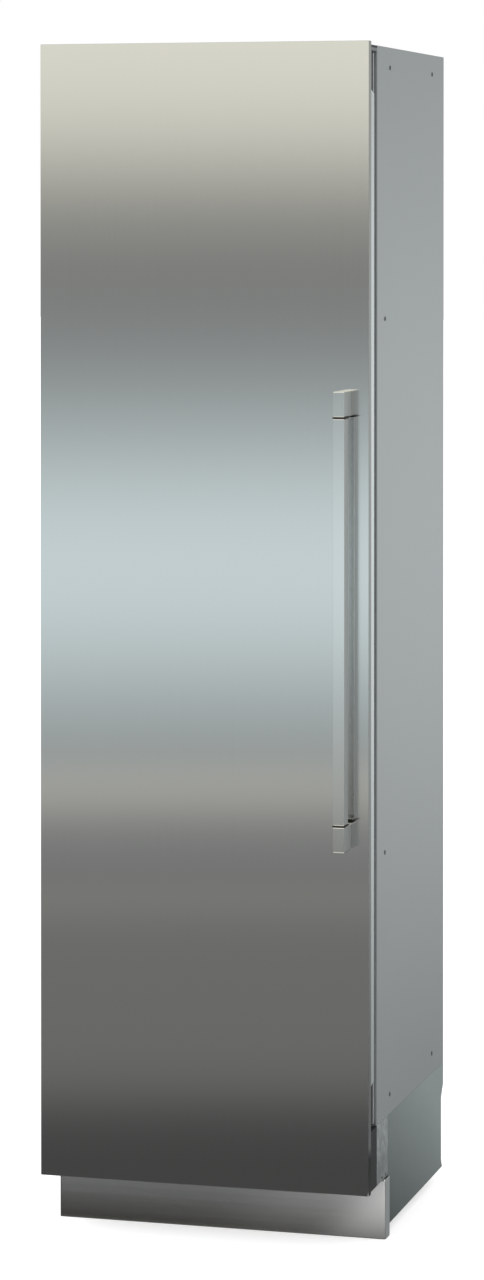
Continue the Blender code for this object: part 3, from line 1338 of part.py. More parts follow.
def make_toe_kick():
    """The brushed steel plinth plate with its side returns."""
    half = KICK_WIDTH / 2
    front = back(KICK_FRONT)
    rear = back(KICK_BACK) - GAP
    corner = KICK_CORNER
    wall = KICK_WALL
    right_out = arc((half - corner, front + corner), corner, 3 / 4, 1)
    right_in = arc((half - corner, front + corner), corner - wall, 1, 3 / 4)
    outer = mirrored(right_out) + right_out
    hem = [(half, rear), (half - KICK_HEM, rear), (half - KICK_HEM, rear - wall), (half - wall, rear - wall)]
    outline = outer + hem + right_in + mirrored(right_in) + mirrored(hem)
    kick = add_prism("toe_kick", outline, 0, KICK_HEIGHT, "Z")
    return paint(kick, "brushed_steel")


def make_base_tray():
    """The steel tray that carries the machinery, with the ears and axles of the rear rollers."""
    half = HALF_BODY - BASE_SIDE_WALL - GAP
    wall = BASE_TRAY_WALL
    low = Vector((-half, back(BASE_TRAY_FRONT), TRAY_Z - wall))
    high = Vector((half, back(BASE_TRAY_BACK), TRAY_Z + BASE_TRAY_LIP))
    tray = add_box("base_tray", low, high)
    inner_low = (low.x + wall, low.y + wall, TRAY_Z)
    inner_high = (high.x - wall, high.y - wall, high.z + OVERRUN)
    cut(tray, add_box("base_tray_room", inner_low, inner_high, CUTTERS))
    for side, where in ((-1, "left"), (1, "right")):
        hole_centre = (side * FOOT_X, back(FOOT_DEPTH), TRAY_Z)
        hole_radius = FOOT_STEM_RADIUS + PIN_RUNNING_GAP
        cut(tray, add_cylinder("foot_hole_" + where, hole_centre, hole_radius, OVERRUN, collection=CUTTERS))
        for face, letter in ((-1, "a"), (1, "b")):
            inner = WHEEL_WIDTH / 2 + GAP
            outer = inner + WHEEL_EAR
            ear_x = sorted((side * WHEEL_X + face * inner, side * WHEEL_X + face * outer))
            ear_low = (ear_x[0], back(WHEEL_DEPTH - WHEEL_EAR_HALF), WHEEL_RADIUS - WHEEL_BORE * 2)
            ear_high = (ear_x[1], back(WHEEL_DEPTH + WHEEL_EAR_HALF), TRAY_Z - wall / 2)
            fuse(tray, add_box("ear_%s_%s" % (where, letter), ear_low, ear_high, CUTTERS))
        axle_centre = (side * WHEEL_X, back(WHEEL_DEPTH), WHEEL_RADIUS)
        axle_length = WHEEL_WIDTH + (GAP + WHEEL_EAR) * 2
        axle = add_cylinder("axle_" + where, axle_centre, WHEEL_BORE, axle_length, "X", collection=CUTTERS)
        fuse(tray, axle)
    return paint(tray, "zinc_steel")


def make_feet_and_wheels():
    """Two levelling feet under the front and two rollers under the rear."""
    for side, where in ((-1, "left"), (1, "right")):
        centre = (side * FOOT_X, back(FOOT_DEPTH))
        foot = add_cylinder("foot_" + where, (*centre, FOOT_HEIGHT / 2), FOOT_RADIUS, FOOT_HEIGHT)
        stem_length = FOOT_STEM_TOP - FOOT_HEIGHT / 2
        stem_centre = (*centre, FOOT_STEM_TOP - stem_length / 2)
        stem = add_cylinder("stem_" + where, stem_centre, FOOT_STEM_RADIUS, stem_length, collection=CUTTERS)
        nut_length = FOOT_HEIGHT / 2 + FOOT_NUT_HEIGHT
        nut_centre = (*centre, FOOT_HEIGHT / 2 + nut_length / 2)
        nut_name = "foot_nut_" + where
        nut = add_cylinder(nut_name, nut_centre, FOOT_NUT_RADIUS, nut_length, "Z", FOOT_NUT_SIDES, CUTTERS)
        paint(fuse(foot, stem, nut), "black_plastic")
        carry("foot_slide_" + where, (*centre, 0), [foot])
        wheel_centre = (side * WHEEL_X, back(WHEEL_DEPTH), WHEEL_RADIUS)
        wheel = add_cylinder("wheel_" + where, wheel_centre, WHEEL_RADIUS, WHEEL_WIDTH, "X")
        bore_radius = WHEEL_BORE + PIN_RUNNING_GAP
        length = WHEEL_WIDTH + OVERRUN * 2
        bore = add_cylinder("wheel_bore_" + where, wheel_centre, bore_radius, length, "X", collection=CUTTERS)
        paint(cut(wheel, bore), "black_plastic")
        carry("wheel_axis_" + where, wheel_centre, [wheel])


def make_compressor():
    """The welded compressor pot on its sprung plate and four rubber grommets."""
    floor = TRAY_Z + GAP
    plate_bottom = floor + GROMMET_HEIGHT - COMPRESSOR_PLATE
    bottom = plate_bottom + COMPRESSOR_PLATE / 2
    middle = bottom + COMPRESSOR_SEAM_HEIGHT
    top = bottom + COMPRESSOR_HEIGHT
    radius = COMPRESSOR_RADIUS
    seam = COMPRESSOR_SEAM
    dome = arc((0, 0), 1, 1 / 4, 0, DOME_STEPS)
    profile = [(radius * across, top - COMPRESSOR_DOME * (1 - rise)) for across, rise in dome]
    profile += [(radius, middle + seam), (radius + seam, middle + seam), (radius + seam, middle)]
    profile += [(radius, middle), (radius, bottom), (0, bottom)]
    centre_x = COMPRESSOR_X
    centre_y = back(COMPRESSOR_DEPTH)
    pot = add_turned("compressor", profile, (centre_x, centre_y, 0))
    half = COMPRESSOR_PLATE_HALF
    plate_low = (centre_x - half, centre_y - half, plate_bottom)
    plate_high = (centre_x + half, centre_y + half, plate_bottom + COMPRESSOR_PLATE)
    fuse(pot, add_box("compressor_plate", plate_low, plate_high, CUTTERS))
    inset = half - GROMMET_RADIUS
    for side_x in (-1, 1):
        for side_y in (-1, 1):
            name = "grommet_%d_%d" % (side_x + 1, side_y + 1)
            place = (centre_x + side_x * inset, centre_y + side_y * inset, floor + GROMMET_HEIGHT / 2)
            fuse(pot, add_cylinder(name, place, GROMMET_RADIUS, GROMMET_HEIGHT, collection=CUTTERS))
    paint(pot, "black_enamel")

    drip_floor = top + GAP
    drip_low = (centre_x - DRIP_WIDTH / 2, centre_y - DRIP_DEPTH / 2, drip_floor)
    drip_high = (centre_x + DRIP_WIDTH / 2, centre_y + DRIP_DEPTH / 2, drip_floor + DRIP_HEIGHT)
    paint(add_tub("drip_tray", drip_low, drip_high, DRIP_WALL, TUB_CORNER), "black_plastic")


def make_condenser():
    """The finned condenser with its fan shroud and motor spider, and the fan on it."""
    bottom = TRAY_Z + GAP
    size = (CONDENSER_WIDTH, CONDENSER_HEIGHT)
    depths = (CONDENSER_FRONT, CONDENSER_FRONT + CONDENSER_THICKNESS)
    fins = CONDENSER_FIN_COUNT
    coil = add_finned_coil("condenser", CONDENSER_X, bottom, size, fins, CONDENSER_ROW_COUNT, depths)
    shroud_front = back(depths[1]) - SHROUD_WALL / 2
    shroud_back = back(depths[1]) + SHROUD_DEPTH
    half = CONDENSER_HEIGHT / 2 - SHROUD_WALL
    centre = (CONDENSER_X, (shroud_front + shroud_back) / 2, bottom + CONDENSER_HEIGHT / 2)
    low = (centre[0] - half, shroud_front, centre[2] - half)
    high = (centre[0] + half, shroud_back, centre[2] + half)
    shroud = add_box("fan_shroud", low, high, CUTTERS)
    fan_radius = half - SHROUD_WALL - SHROUD_GAP / 2
    room_radius = half - SHROUD_WALL * 2
    length = shroud_back - shroud_front
    room_length = length + OVERRUN * 2
    room = add_cylinder("shroud_room", centre, room_radius, room_length, "Y", collection=CUTTERS)
    cut(shroud, room)
    bar_back = shroud_back - SHROUD_WALL
    bar_front = bar_back - SPIDER_BAR
    for name, across, up in (("spider_flat", half - SHROUD_WALL, SPIDER_BAR / 2),
                             ("spider_upright", SPIDER_BAR / 2, half - SHROUD_WALL)):
        bar_low = (centre[0] - across, bar_front, centre[2] - up)
        bar_high = (centre[0] + across, bar_back, centre[2] + up)
        fuse(shroud, add_box(name, bar_low, bar_high, CUTTERS))
    hub_length = length - SPIDER_BAR - SHROUD_GAP / 2
    shaft_front = shroud_front + SHROUD_GAP / 2
    shaft_centre = (centre[0], (shaft_front + bar_back) / 2, centre[2])
    shaft_length = bar_back - shaft_front
    shaft_radius = FAN_SHAFT_RADIUS
    shaft = add_cylinder("spider_shaft", shaft_centre, shaft_radius, shaft_length, "Y", collection=CUTTERS)
    fuse(shroud, shaft)
    paint(boolean(coil, shroud, "UNION", "MANIFOLD"), "zinc_steel")
    hub_centre = (centre[0], bar_front - GAP - hub_length / 2, centre[2])
    fan = add_rotor("condenser_fan", hub_centre, fan_radius, hub_length)
    carry("condenser_fan_axis", hub_centre, [fan])


def make_terminal_box():
    """The electrical box at the lower rear, with the recessed mains inlet."""
    bottom = TRAY_Z + GAP
    low = (TERMINAL_X - TERMINAL_WIDTH / 2, back(TERMINAL_FRONT), bottom)
    high = (TERMINAL_X + TERMINAL_WIDTH / 2, back(TERMINAL_BACK), bottom + TERMINAL_HEIGHT)
    box = add_box("terminal_box", low, high)
    half_width = SOCKET_WIDTH / 2
    half_height = SOCKET_HEIGHT / 2
    centre_z = (low[2] + high[2]) / 2
    recess_low = (TERMINAL_X - half_width, high[1] - SOCKET_DEPTH, centre_z - half_height)
    recess_high = (TERMINAL_X + half_width, high[1] + OVERRUN, centre_z + half_height)
    cut(box, add_box("socket_recess", recess_low, recess_high, CUTTERS))
    for index in (-1, 0, 1):
        pin_x = TERMINAL_X + index * SOCKET_PIN_SPREAD
        pin_low = (pin_x - SOCKET_PIN / 2, high[1] - SOCKET_DEPTH - SOCKET_PIN, centre_z - SOCKET_PIN)
        pin_high = (pin_x + SOCKET_PIN / 2, high[1] - SOCKET_PIN, centre_z + SOCKET_PIN)
        fuse(box, add_box("socket_pin_%d" % (index + 1), pin_low, pin_high, CUTTERS))
    return paint(box, "black_plastic")


def make_door():
    """Every piece that swings with the door, hung on the hinge axis."""
    pieces = [make_door_panel(), make_door_shell(), make_door_liner(), make_door_insulation()]
    pieces += [make_door_gasket()]
    pieces += make_edge_strips()
    pieces += make_handle()
    pieces += make_hinge_bushes()
    pieces += make_door_racks()
    carry("door_hinge_axis", (HINGE_X, back(HINGE_DEPTH), DOOR_BOTTOM), pieces)


def make_cabinet():
    """The fixed cabinet and what is fastened in it."""
    make_cabinet_sheets()
    make_cabinet_insulation()
    make_inner_liner()
    make_top_trim()
    make_hinges()
    make_shelves()
    make_evaporator_cover()
    make_evaporator()
    make_evaporator_fan()
    make_lights_and_controls()
    make_ice_maker()
    make_ice_bin()
    make_drawers()


def make_base():
    """The machine base and what it stands on."""
    make_base_sides()
    make_cross_member()
    make_base_front()
    make_toe_kick()
    make_base_tray()
    make_feet_and_wheels()
    make_compressor()
    make_condenser()
    make_terminal_box()


make_door()
make_cabinet()
make_base()
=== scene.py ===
# %% [markdown]
# # A column freezer with one tall steel door
# The imported model gives every rigid piece at its real size, and this lesson gives those pieces their finishes.
# The frame is loaded first, because the new pieces take their places from it wherever they can.

# %% Load the frame
import json
import math

import bmesh
import bpy
import numpy as np
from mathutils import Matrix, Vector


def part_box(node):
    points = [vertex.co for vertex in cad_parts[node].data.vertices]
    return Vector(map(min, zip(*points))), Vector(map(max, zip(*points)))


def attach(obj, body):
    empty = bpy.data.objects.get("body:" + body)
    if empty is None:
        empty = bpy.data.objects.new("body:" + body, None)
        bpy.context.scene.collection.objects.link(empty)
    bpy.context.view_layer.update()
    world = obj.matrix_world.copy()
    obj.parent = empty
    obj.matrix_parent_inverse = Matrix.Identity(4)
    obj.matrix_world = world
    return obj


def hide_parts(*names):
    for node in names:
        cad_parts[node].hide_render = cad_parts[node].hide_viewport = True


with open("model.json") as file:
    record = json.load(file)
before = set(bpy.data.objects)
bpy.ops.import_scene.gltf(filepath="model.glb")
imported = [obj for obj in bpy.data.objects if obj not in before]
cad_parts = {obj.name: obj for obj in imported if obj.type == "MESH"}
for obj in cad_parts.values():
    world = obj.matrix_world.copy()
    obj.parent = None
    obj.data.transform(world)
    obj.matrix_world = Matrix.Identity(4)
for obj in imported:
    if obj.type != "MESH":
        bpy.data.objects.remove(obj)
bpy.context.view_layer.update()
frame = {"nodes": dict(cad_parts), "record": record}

SLOT_OF = {part["node"]: part["material_slot"] for part in frame["record"]["subparts"]}
print(len(SLOT_OF), "nodes in", len(set(SLOT_OF.values())), "finishes")

# %% [markdown]
# ## The places that the new pieces need
# A box in the frame tells where a piece sits, so a screw can sit on the side sheet and the seal can fill the room
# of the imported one. Reading the boxes is safer than copying numbers, which would drift when a size is changed.

# %% Read the boxes
BOX = {name: tuple(np.array(corner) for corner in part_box(name)) for name in frame["nodes"]}
FACE_Y = BOX["door_panel"][0][1]
SIDE_X = BOX["side_panel_right"][1][0]
print("door face at", round(float(FACE_Y), 4), "and side sheet at", round(float(SIDE_X), 4))

# %% [markdown]
# ## Camera
# The photograph was taken from the right, at about head height, with the camera held almost level, so that the
# upright edges stay nearly parallel. A long lens far away keeps the door almost flat. Most of the downward look
# comes from the lens shift, and a small pitch takes the rest, so that other views still hold the freezer.

# %% Place the camera
CAMERA_PLACE = (1.906, -6.894, 1.825)
CAMERA_YAW_DEG = 15.49
CAMERA_PITCH_DEG = 0.6
CAMERA_LENS = 109.42
CAMERA_SHIFT = -0.29945
SENSOR_WIDTH = 36
CAMERA_REACH = 200

camera_data = bpy.data.cameras.new("camera")
camera_data.lens = CAMERA_LENS
camera_data.sensor_width = SENSOR_WIDTH
camera_data.shift_y = CAMERA_SHIFT
camera_data.clip_end = CAMERA_REACH
camera = bpy.data.objects.new("camera", camera_data)
camera.location = CAMERA_PLACE
camera.rotation_euler = (math.radians(90 - CAMERA_PITCH_DEG), 0, math.radians(CAMERA_YAW_DEG))
bpy.context.scene.collection.objects.link(camera)
bpy.context.scene.camera = camera
bpy.context.scene.view_settings.view_transform = "Standard"
print("camera at", CAMERA_PLACE, "with a", CAMERA_LENS, "mm lens")

# %% [markdown]
# ## Helpers for shader nodes
# Every finish below is a small graph of nodes. A few helpers keep each graph readable: they make a node with its
# settings, feed a socket with either a plain number or another node's output, and write a sum or a mix in one line.

# %% Node helpers
def add_node(tree, kind, **settings):
    """A node of one kind, with its settings."""
    node = tree.nodes.new(kind)
    for setting, value in settings.items():
        setattr(node, setting, value)
    return node


def feed(tree, socket, value):
    """Link a socket to an output, or set its plain value."""
    if isinstance(value, bpy.types.NodeSocket):
        tree.links.new(value, socket)
    else:
        socket.default_value = value


def calculate(tree, operation, first, second=0.0, third=0.0):
    """The output of one Math node."""
    node = add_node(tree, "ShaderNodeMath", operation=operation)
    for socket, value in zip(node.inputs, (first, second, third)):
        feed(tree, socket, value)
    return node.outputs[0]


def tint(tree, factor, low, high):
    """A colour that goes from low to high with a factor."""
    node = add_node(tree, "ShaderNodeMix", data_type="RGBA")
    feed(tree, node.inputs["Factor"], factor)
    feed(tree, node.inputs["A"], low)
    feed(tree, node.inputs["B"], high)
    return node.outputs["Result"]


def scale_colour(tree, colour, amount):
    """A colour times one number."""
    node = add_node(tree, "ShaderNodeVectorMath", operation="SCALE")
    feed(tree, node.inputs[0], colour)
    feed(tree, node.inputs["Scale"], amount)
    return node.outputs[0]


def bare_material(name):
    """A new material whose node tree is still empty."""
    material = bpy.data.materials.new(name)
    material.use_nodes = True
    material.node_tree.nodes.clear()
    return material


print("node helpers ready")

# %% [markdown]
# ## Background and general light
# A product picture of this kind stands on white. One white world would do for the camera, but light and picture
# are easier to set apart: the world is white for the camera, and for mirror and glass rays, and gives a plain even
# light to everything else, so that a colour renders about as it is written.

# %% World
GENERAL_LIGHT = 1.0
GENERAL_COLOUR = (0.985, 0.99, 1.0, 1)
BACKGROUND_COLOUR = (1, 1, 1, 1)

world = bpy.data.worlds.new("studio")
bpy.context.scene.world = world
world.use_nodes = True
sky = world.node_tree
sky.nodes.clear()
path = add_node(sky, "ShaderNodeLightPath")
seen = calculate(sky, "MAXIMUM", path.outputs["Is Camera Ray"], path.outputs["Is Glossy Ray"])
seen = calculate(sky, "MAXIMUM", seen, path.outputs["Is Transmission Ray"])
even = add_node(sky, "ShaderNodeBackground")
even.inputs["Strength"].default_value = GENERAL_LIGHT
white = add_node(sky, "ShaderNodeBackground")
choice = add_node(sky, "ShaderNodeMixShader")
feed(sky, even.inputs["Color"], GENERAL_COLOUR)
feed(sky, white.inputs["Color"], BACKGROUND_COLOUR)
feed(sky, choice.inputs[0], seen)
sky.links.new(even.outputs[0], choice.inputs[1])
sky.links.new(white.outputs[0], choice.inputs[2])
sky.links.new(choice.outputs[0], add_node(sky, "ShaderNodeOutputWorld").inputs[0])
print("general light", GENERAL_LIGHT)

# %% [markdown]
# ## Surfaces from formulas
# A new piece is a grid of points worked out as whole arrays. The faces of a grid follow from its shape alone, so
# one function lists them for any grid, and one hands points and faces to Blender and merges the points that meet at
# a pole. Blender's own primitives could be joined and bent instead, but a formula says exactly what the shape is.

# %% Grid and mesh helpers
POLE_MERGE = 0.000002
SHARP_EDGE_DEG = 35


def grid_faces(rows, columns, close_rows=False, close_columns=False):
    """Quads of a grid: each joins (i, j) to (i+1, j), (i+1, j+1) and (i, j+1), wrapping where it closes."""
    i = np.arange(rows if close_rows else rows - 1)
    j = np.arange(columns if close_columns else columns - 1)
    i, j = (part.ravel() for part in np.meshgrid(i, j, indexing="ij"))
    row, next_row = i * columns, (i + 1) % rows * columns
    next_j = (j + 1) % columns
    return np.stack((row + j, next_row + j, next_row + next_j, row + next_j), axis=1)


def make_piece(name, points, faces, smooth=True):
    """A mesh object at the origin from an array of points and an array of quads or triangles."""
    points = np.asarray(points, np.float32).reshape(-1, 3)
    faces = np.asarray(faces, np.int32)
    mesh = bpy.data.meshes.new(name)
    mesh.vertices.add(len(points))
    mesh.vertices.foreach_set("co", points.ravel())
    mesh.loops.add(faces.size)
    mesh.loops.foreach_set("vertex_index", faces.ravel())
    mesh.polygons.add(len(faces))
    mesh.polygons.foreach_set("loop_start", np.arange(0, faces.size, faces.shape[1], dtype=np.int32))
    mesh.update(calc_edges=True)
    shape = bmesh.new()
    shape.from_mesh(mesh)
    bmesh.ops.remove_doubles(shape, verts=shape.verts, dist=POLE_MERGE)
    shape.to_mesh(mesh)
    shape.free()
    if smooth:
        mesh.shade_smooth()
    else:
        mesh.shade_flat()
    mesh.set_sharp_from_angle(angle=math.radians(SHARP_EDGE_DEG))
    piece = bpy.data.objects.new(name, mesh)
    bpy.context.scene.collection.objects.link(piece)
    return piece


def flat_sheet(name, low, high, height):
    """A level rectangle: (x, y, height) with x and y from low to high."""
    x, y = np.meshgrid((low[0], high[0]), (low[1], high[1]), indexing="ij")
    points = np.stack([x, y, np.full((2, 2), height)], axis=-1)
    return make_piece(name, points, grid_faces(2, 2), smooth=False)


print("a 3 by 4 grid has", len(grid_faces(3, 4)), "faces")

# %% [markdown]
# ## Studio card wall
# Brushed steel has no picture of its own: it shows the studio. The door in the photograph shows a warm bright card
# high up, a broad cool card at chest height and a dark lower wall, smeared sideways by the grain.
# Real lamps could print these cards too, but their edges would be hard and they would also light the paint. A round
# wall that only mirror rays meet carries them instead, as smooth humps and steps over the angle of sight.

# %% Card wall shape
WALL_RADIUS = 90.0
WALL_CENTRE_HEIGHT = 1.8
WALL_RINGS = 33
WALL_SIDES = 64


def mirror_only(piece):
    """Hide a piece from every kind of ray but the mirror ones."""
    for rays in ("camera", "diffuse", "transmission", "volume_scatter", "shadow"):
        setattr(piece, "visible_" + rays, False)


def card_wall():
    """A sphere round the studio, facing inwards: (R cos u cos v, R cos u sin v, R sin u)."""
    u = np.linspace(-math.pi / 2, math.pi / 2, WALL_RINGS)[:, None]
    v = np.linspace(0, math.tau, WALL_SIDES, endpoint=False)[None, :]
    flat = np.cos(u) * WALL_RADIUS
    points = np.stack([flat * np.cos(v), flat * np.sin(v), np.sin(u) * WALL_RADIUS + v * 0], axis=-1)
    points[..., 2] += WALL_CENTRE_HEIGHT
    return make_piece("card_wall", points, grid_faces(WALL_RINGS, WALL_SIDES, close_columns=True))


wall = card_wall()
print("card wall has", len(wall.data.polygons), "faces")

# %% Card wall light
FLOOR_DARK = (0.064, 0.064, 0.063)
LOW_WALL = (0.112, 0.112, 0.109)
WARM_CARD = (0.690, 0.680, 0.580)
COOL_CARD = (0.500, 0.600, 0.620)
WARM_GLINT = (0.170, 0.150, 0.116)
FAINT_GLINT = (0.045, 0.040, 0.031)
REAR_WALL = (0.020, 0.020, 0.020)
REAR_CARD = (0.912, 0.985, 0.995)
REAR_CEILING = (0.280, 0.300, 0.302)
# The front cards give way to the rear ones between these two shares of Y in the direction of sight.
REAR_TURN = (-0.45, 0.1)


def hump(tree, place, centre, width):
    """A smooth hump over an angle or a length: exp(-((place - centre) / width) squared)."""
    reach = calculate(tree, "DIVIDE", calculate(tree, "SUBTRACT", place, centre), width)
    squared = calculate(tree, "MULTIPLY", reach, reach)
    return calculate(tree, "EXPONENT", calculate(tree, "MULTIPLY", squared, -1.0))


def ramp(tree, place, centre, width):
    """A smooth step over an angle or a length: 1 / (1 + exp(-(place - centre) / width))."""
    reach = calculate(tree, "DIVIDE", calculate(tree, "SUBTRACT", centre, place), width)
    return calculate(tree, "DIVIDE", 1.0, calculate(tree, "ADD", calculate(tree, "EXPONENT", reach), 1.0))


def add_light(tree, total, amount, colour):
    """The running colour plus a card's colour times its amount."""
    summed = add_node(tree, "ShaderNodeVectorMath", operation="ADD")
    feed(tree, summed.inputs[0], total)
    feed(tree, summed.inputs[1], scale_colour(tree, colour, amount))
    return summed.outputs[0]


def lay_cards(tree, angle, total, cards):
    """A ground colour plus each card's colour, which its hump or ramp spreads over the angle of sight."""
    for spread, centre, width, colour in cards:
        total = add_light(tree, total, spread(tree, angle, centre, width), colour)
    return total


# Each card has its spread, the centre and width of that spread in degrees, and its colour.
FRONT_CARDS = (
    (ramp, -13.75, 0.20, LOW_WALL),
    (ramp, 0.76, 0.60, WARM_CARD),
    (hump, -5.52, 2.76, COOL_CARD),
    (hump, -9.0, 0.46, WARM_GLINT),
    (hump, -10.7, 0.30, FAINT_GLINT),
    (ramp, -32.0, -2.5, WARM_CARD),
)
REAR_CARDS = (
    (hump, -5.0, 6.6, REAR_CARD),
    (ramp, -0.2, 1.0, REAR_CEILING),
)


def card_wall_light():
    """The wall's glow: the front cards towards -Y, and the rear cards behind them."""
    material = bare_material("card_wall_light")
    tree = material.node_tree
    place = add_node(tree, "ShaderNodeTexCoord").outputs["Object"]
    centred = add_node(tree, "ShaderNodeVectorMath", operation="SUBTRACT")
    feed(tree, centred.inputs[0], place)
    feed(tree, centred.inputs[1], (0, 0, WALL_CENTRE_HEIGHT))
    unit = add_node(tree, "ShaderNodeVectorMath", operation="NORMALIZE")
    tree.links.new(centred.outputs[0], unit.inputs[0])
    axes = add_node(tree, "ShaderNodeSeparateXYZ")
    tree.links.new(unit.outputs[0], axes.inputs[0])
    angle = calculate(tree, "MULTIPLY", calculate(tree, "ARCSINE", axes.outputs["Z"]), 180 / math.pi)
    front = lay_cards(tree, angle, FLOOR_DARK, FRONT_CARDS)
    rear = lay_cards(tree, angle, REAR_WALL, REAR_CARDS)
    turn = add_node(tree, "ShaderNodeMapRange", interpolation_type="SMOOTHSTEP")
    feed(tree, turn.inputs["Value"], axes.outputs["Y"])
    feed(tree, turn.inputs["From Min"], REAR_TURN[0])
    feed(tree, turn.inputs["From Max"], REAR_TURN[1])
    glow = add_node(tree, "ShaderNodeEmission")
    feed(tree, glow.inputs["Color"], tint(tree, turn.outputs["Result"], front, rear))
    tree.links.new(glow.outputs[0], add_node(tree, "ShaderNodeOutputMaterial").inputs[0])
    return material


wall.data.materials.append(card_wall_light())
mirror_only(wall)
print("the card wall is seen by mirror rays only")

# %% [markdown]
# ## Floor
# The floor is plain and pale. A floor that is only lit would end in a grey line against the white background. For
# the camera part of its brightness is its own, so it meets the background without an edge, and the rest is lit, so
# the freezer's shadow stays on it. Mirror rays pass it by, because the lower card wall stands for it in the steel.

# %% Floor
FLOOR_HALF = 60.0
FLOOR_HEIGHT = -0.0004
FLOOR_GLOW = 0.54
FLOOR_COLOUR = (0.80, 0.80, 0.80, 1)


def floor_finish():
    """A pale diffuse floor that adds a light of its own for the camera."""
    material = bare_material("pale_floor")
    tree = material.node_tree
    lit = add_node(tree, "ShaderNodeBsdfDiffuse")
    feed(tree, lit.inputs["Color"], FLOOR_COLOUR)
    glow = add_node(tree, "ShaderNodeEmission")
    rays = add_node(tree, "ShaderNodeLightPath")
    own_light = calculate(tree, "MULTIPLY", rays.outputs["Is Camera Ray"], FLOOR_GLOW)
    feed(tree, glow.inputs["Strength"], own_light)
    both = add_node(tree, "ShaderNodeAddShader")
    tree.links.new(lit.outputs[0], both.inputs[0])
    tree.links.new(glow.outputs[0], both.inputs[1])
    tree.links.new(both.outputs[0], add_node(tree, "ShaderNodeOutputMaterial").inputs[0])
    return material


floor = flat_sheet("floor", (-FLOOR_HALF, -FLOOR_HALF), (FLOOR_HALF, FLOOR_HALF), FLOOR_HEIGHT)
floor.data.materials.append(floor_finish())
floor.visible_glossy = False
print("floor is", FLOOR_HALF * 2, "m wide")

# %% [markdown]
# ## A card on the floor before the plinth
# The plinth plate stands back under the door and shows only the floor just before it, which runs from dark on the
# left to bright on the right in the photograph. A flat card that only mirror rays meet carries that run, and it is
# short enough that the door, which is nearer, looks over it.

# %% Floor card
FLOOR_CARD_LOW = (-0.80, -0.640)
FLOOR_CARD_HIGH = (0.60, -0.165)
FLOOR_CARD_COLOUR = (1.0, 1.0, 0.985, 1)
FLOOR_CARD_GLOW = (0.068, 0.070, 0.330)
# Each soft step over x has its centre and its width in metres.
MIDDLE_STEP = (0.02, 0.035)
RIGHT_STEP = (0.205, 0.022)
# The share of the glow that is left at the plinth, and how much it grows for each metre towards the front.
FLOOR_CARD_FADE = (0.42, 4.40)


def floor_card_light():
    """Glow: a dark level and two soft steps over x, times near + growth * distance from the plinth."""
    material = bare_material("floor_card_light")
    tree = material.node_tree
    axes = add_node(tree, "ShaderNodeSeparateXYZ")
    tree.links.new(add_node(tree, "ShaderNodeTexCoord").outputs["Object"], axes.inputs[0])
    level, middle, right = FLOOR_CARD_GLOW
    middle_step = ramp(tree, axes.outputs["X"], *MIDDLE_STEP)
    right_step = ramp(tree, axes.outputs["X"], *RIGHT_STEP)
    total = calculate(tree, "MULTIPLY_ADD", middle_step, middle, level)
    total = calculate(tree, "MULTIPLY_ADD", right_step, right, total)
    near, growth = FLOOR_CARD_FADE
    distance = calculate(tree, "SUBTRACT", FLOOR_CARD_HIGH[1], axes.outputs["Y"])
    total = calculate(tree, "MULTIPLY", total, calculate(tree, "MULTIPLY_ADD", distance, growth, near))
    glow = add_node(tree, "ShaderNodeEmission")
    feed(tree, glow.inputs["Color"], FLOOR_CARD_COLOUR)
    feed(tree, glow.inputs["Strength"], total)
    tree.links.new(glow.outputs[0], add_node(tree, "ShaderNodeOutputMaterial").inputs[0])
    return material


floor_card = flat_sheet("floor_card", FLOOR_CARD_LOW, FLOOR_CARD_HIGH, 0.0)
floor_card.data.materials.append(floor_card_light())
mirror_only(floor_card)
print("floor card from", FLOOR_CARD_LOW, "to", FLOOR_CARD_HIGH)

# %% [markdown]
# ## A soft key light
# The even world alone would leave the inside of the freezer and its corners flat. One large soft lamp, high on the
# left in front, gives them a gentle direction. Mirror rays don't meet it, so that it prints no spot on the steel.

# %% Key light
KEY_PLACE = (-3.2, -4.6, 4.2)
KEY_SIZE = 3.0
KEY_POWER = 150
KEY_AIM = (0, 0, 1.0)

key_data = bpy.data.lights.new("key", "AREA")
key_data.energy = KEY_POWER
key_data.size = KEY_SIZE
key = bpy.data.objects.new("key", key_data)
key.location = KEY_PLACE
aim = np.array(KEY_AIM) - np.array(KEY_PLACE)
tilt = math.atan2(math.hypot(aim[0], aim[1]), -aim[2])
heading = math.atan2(aim[1], aim[0]) - math.pi / 2
key.rotation_euler = (tilt, 0, heading)
key.visible_glossy = False
bpy.context.scene.collection.objects.link(key)
print("key light at", KEY_PLACE)

# %% [markdown]
# ## Shared surface patterns
# Several finishes share a pattern, so each pattern is a node group with named inputs and the same two outputs:
# Tone, which a finish uses for its colour and roughness, and Height, which it uses for its relief.
# Brushing is noise pulled long along the grain. Paint and moulded plastic are fine noise with a slow mottle.
# Two more groups are masks: the faces that look sideways, which get their own roughness and painted shade, and a
# fade over height and depth for painted shade. A picture of brushed steel could be wrapped round each piece instead,
# but noise needs no unwrapping and never repeats.

# %% Pattern groups
BRUSH_FINE_SHARE = 0.45
STREAK_SCALE = 0.13
SKIN_FINE_SHARE = 0.25
SIDEWAYS_LIMIT = 0.7


def new_pattern(name, *inputs):
    """An empty group with float inputs, the Object coordinates, and the outputs Tone and Height."""
    group = bpy.data.node_groups.new(name, "ShaderNodeTree")
    for label in inputs:
        group.interface.new_socket(name=label, in_out="INPUT", socket_type="NodeSocketFloat")
    for label in ("Tone", "Height"):
        group.interface.new_socket(name=label, in_out="OUTPUT", socket_type="NodeSocketFloat")
    entry = group.nodes.new("NodeGroupInput")
    place = add_node(group, "ShaderNodeTexCoord").outputs["Object"]
    return group, entry.outputs, place


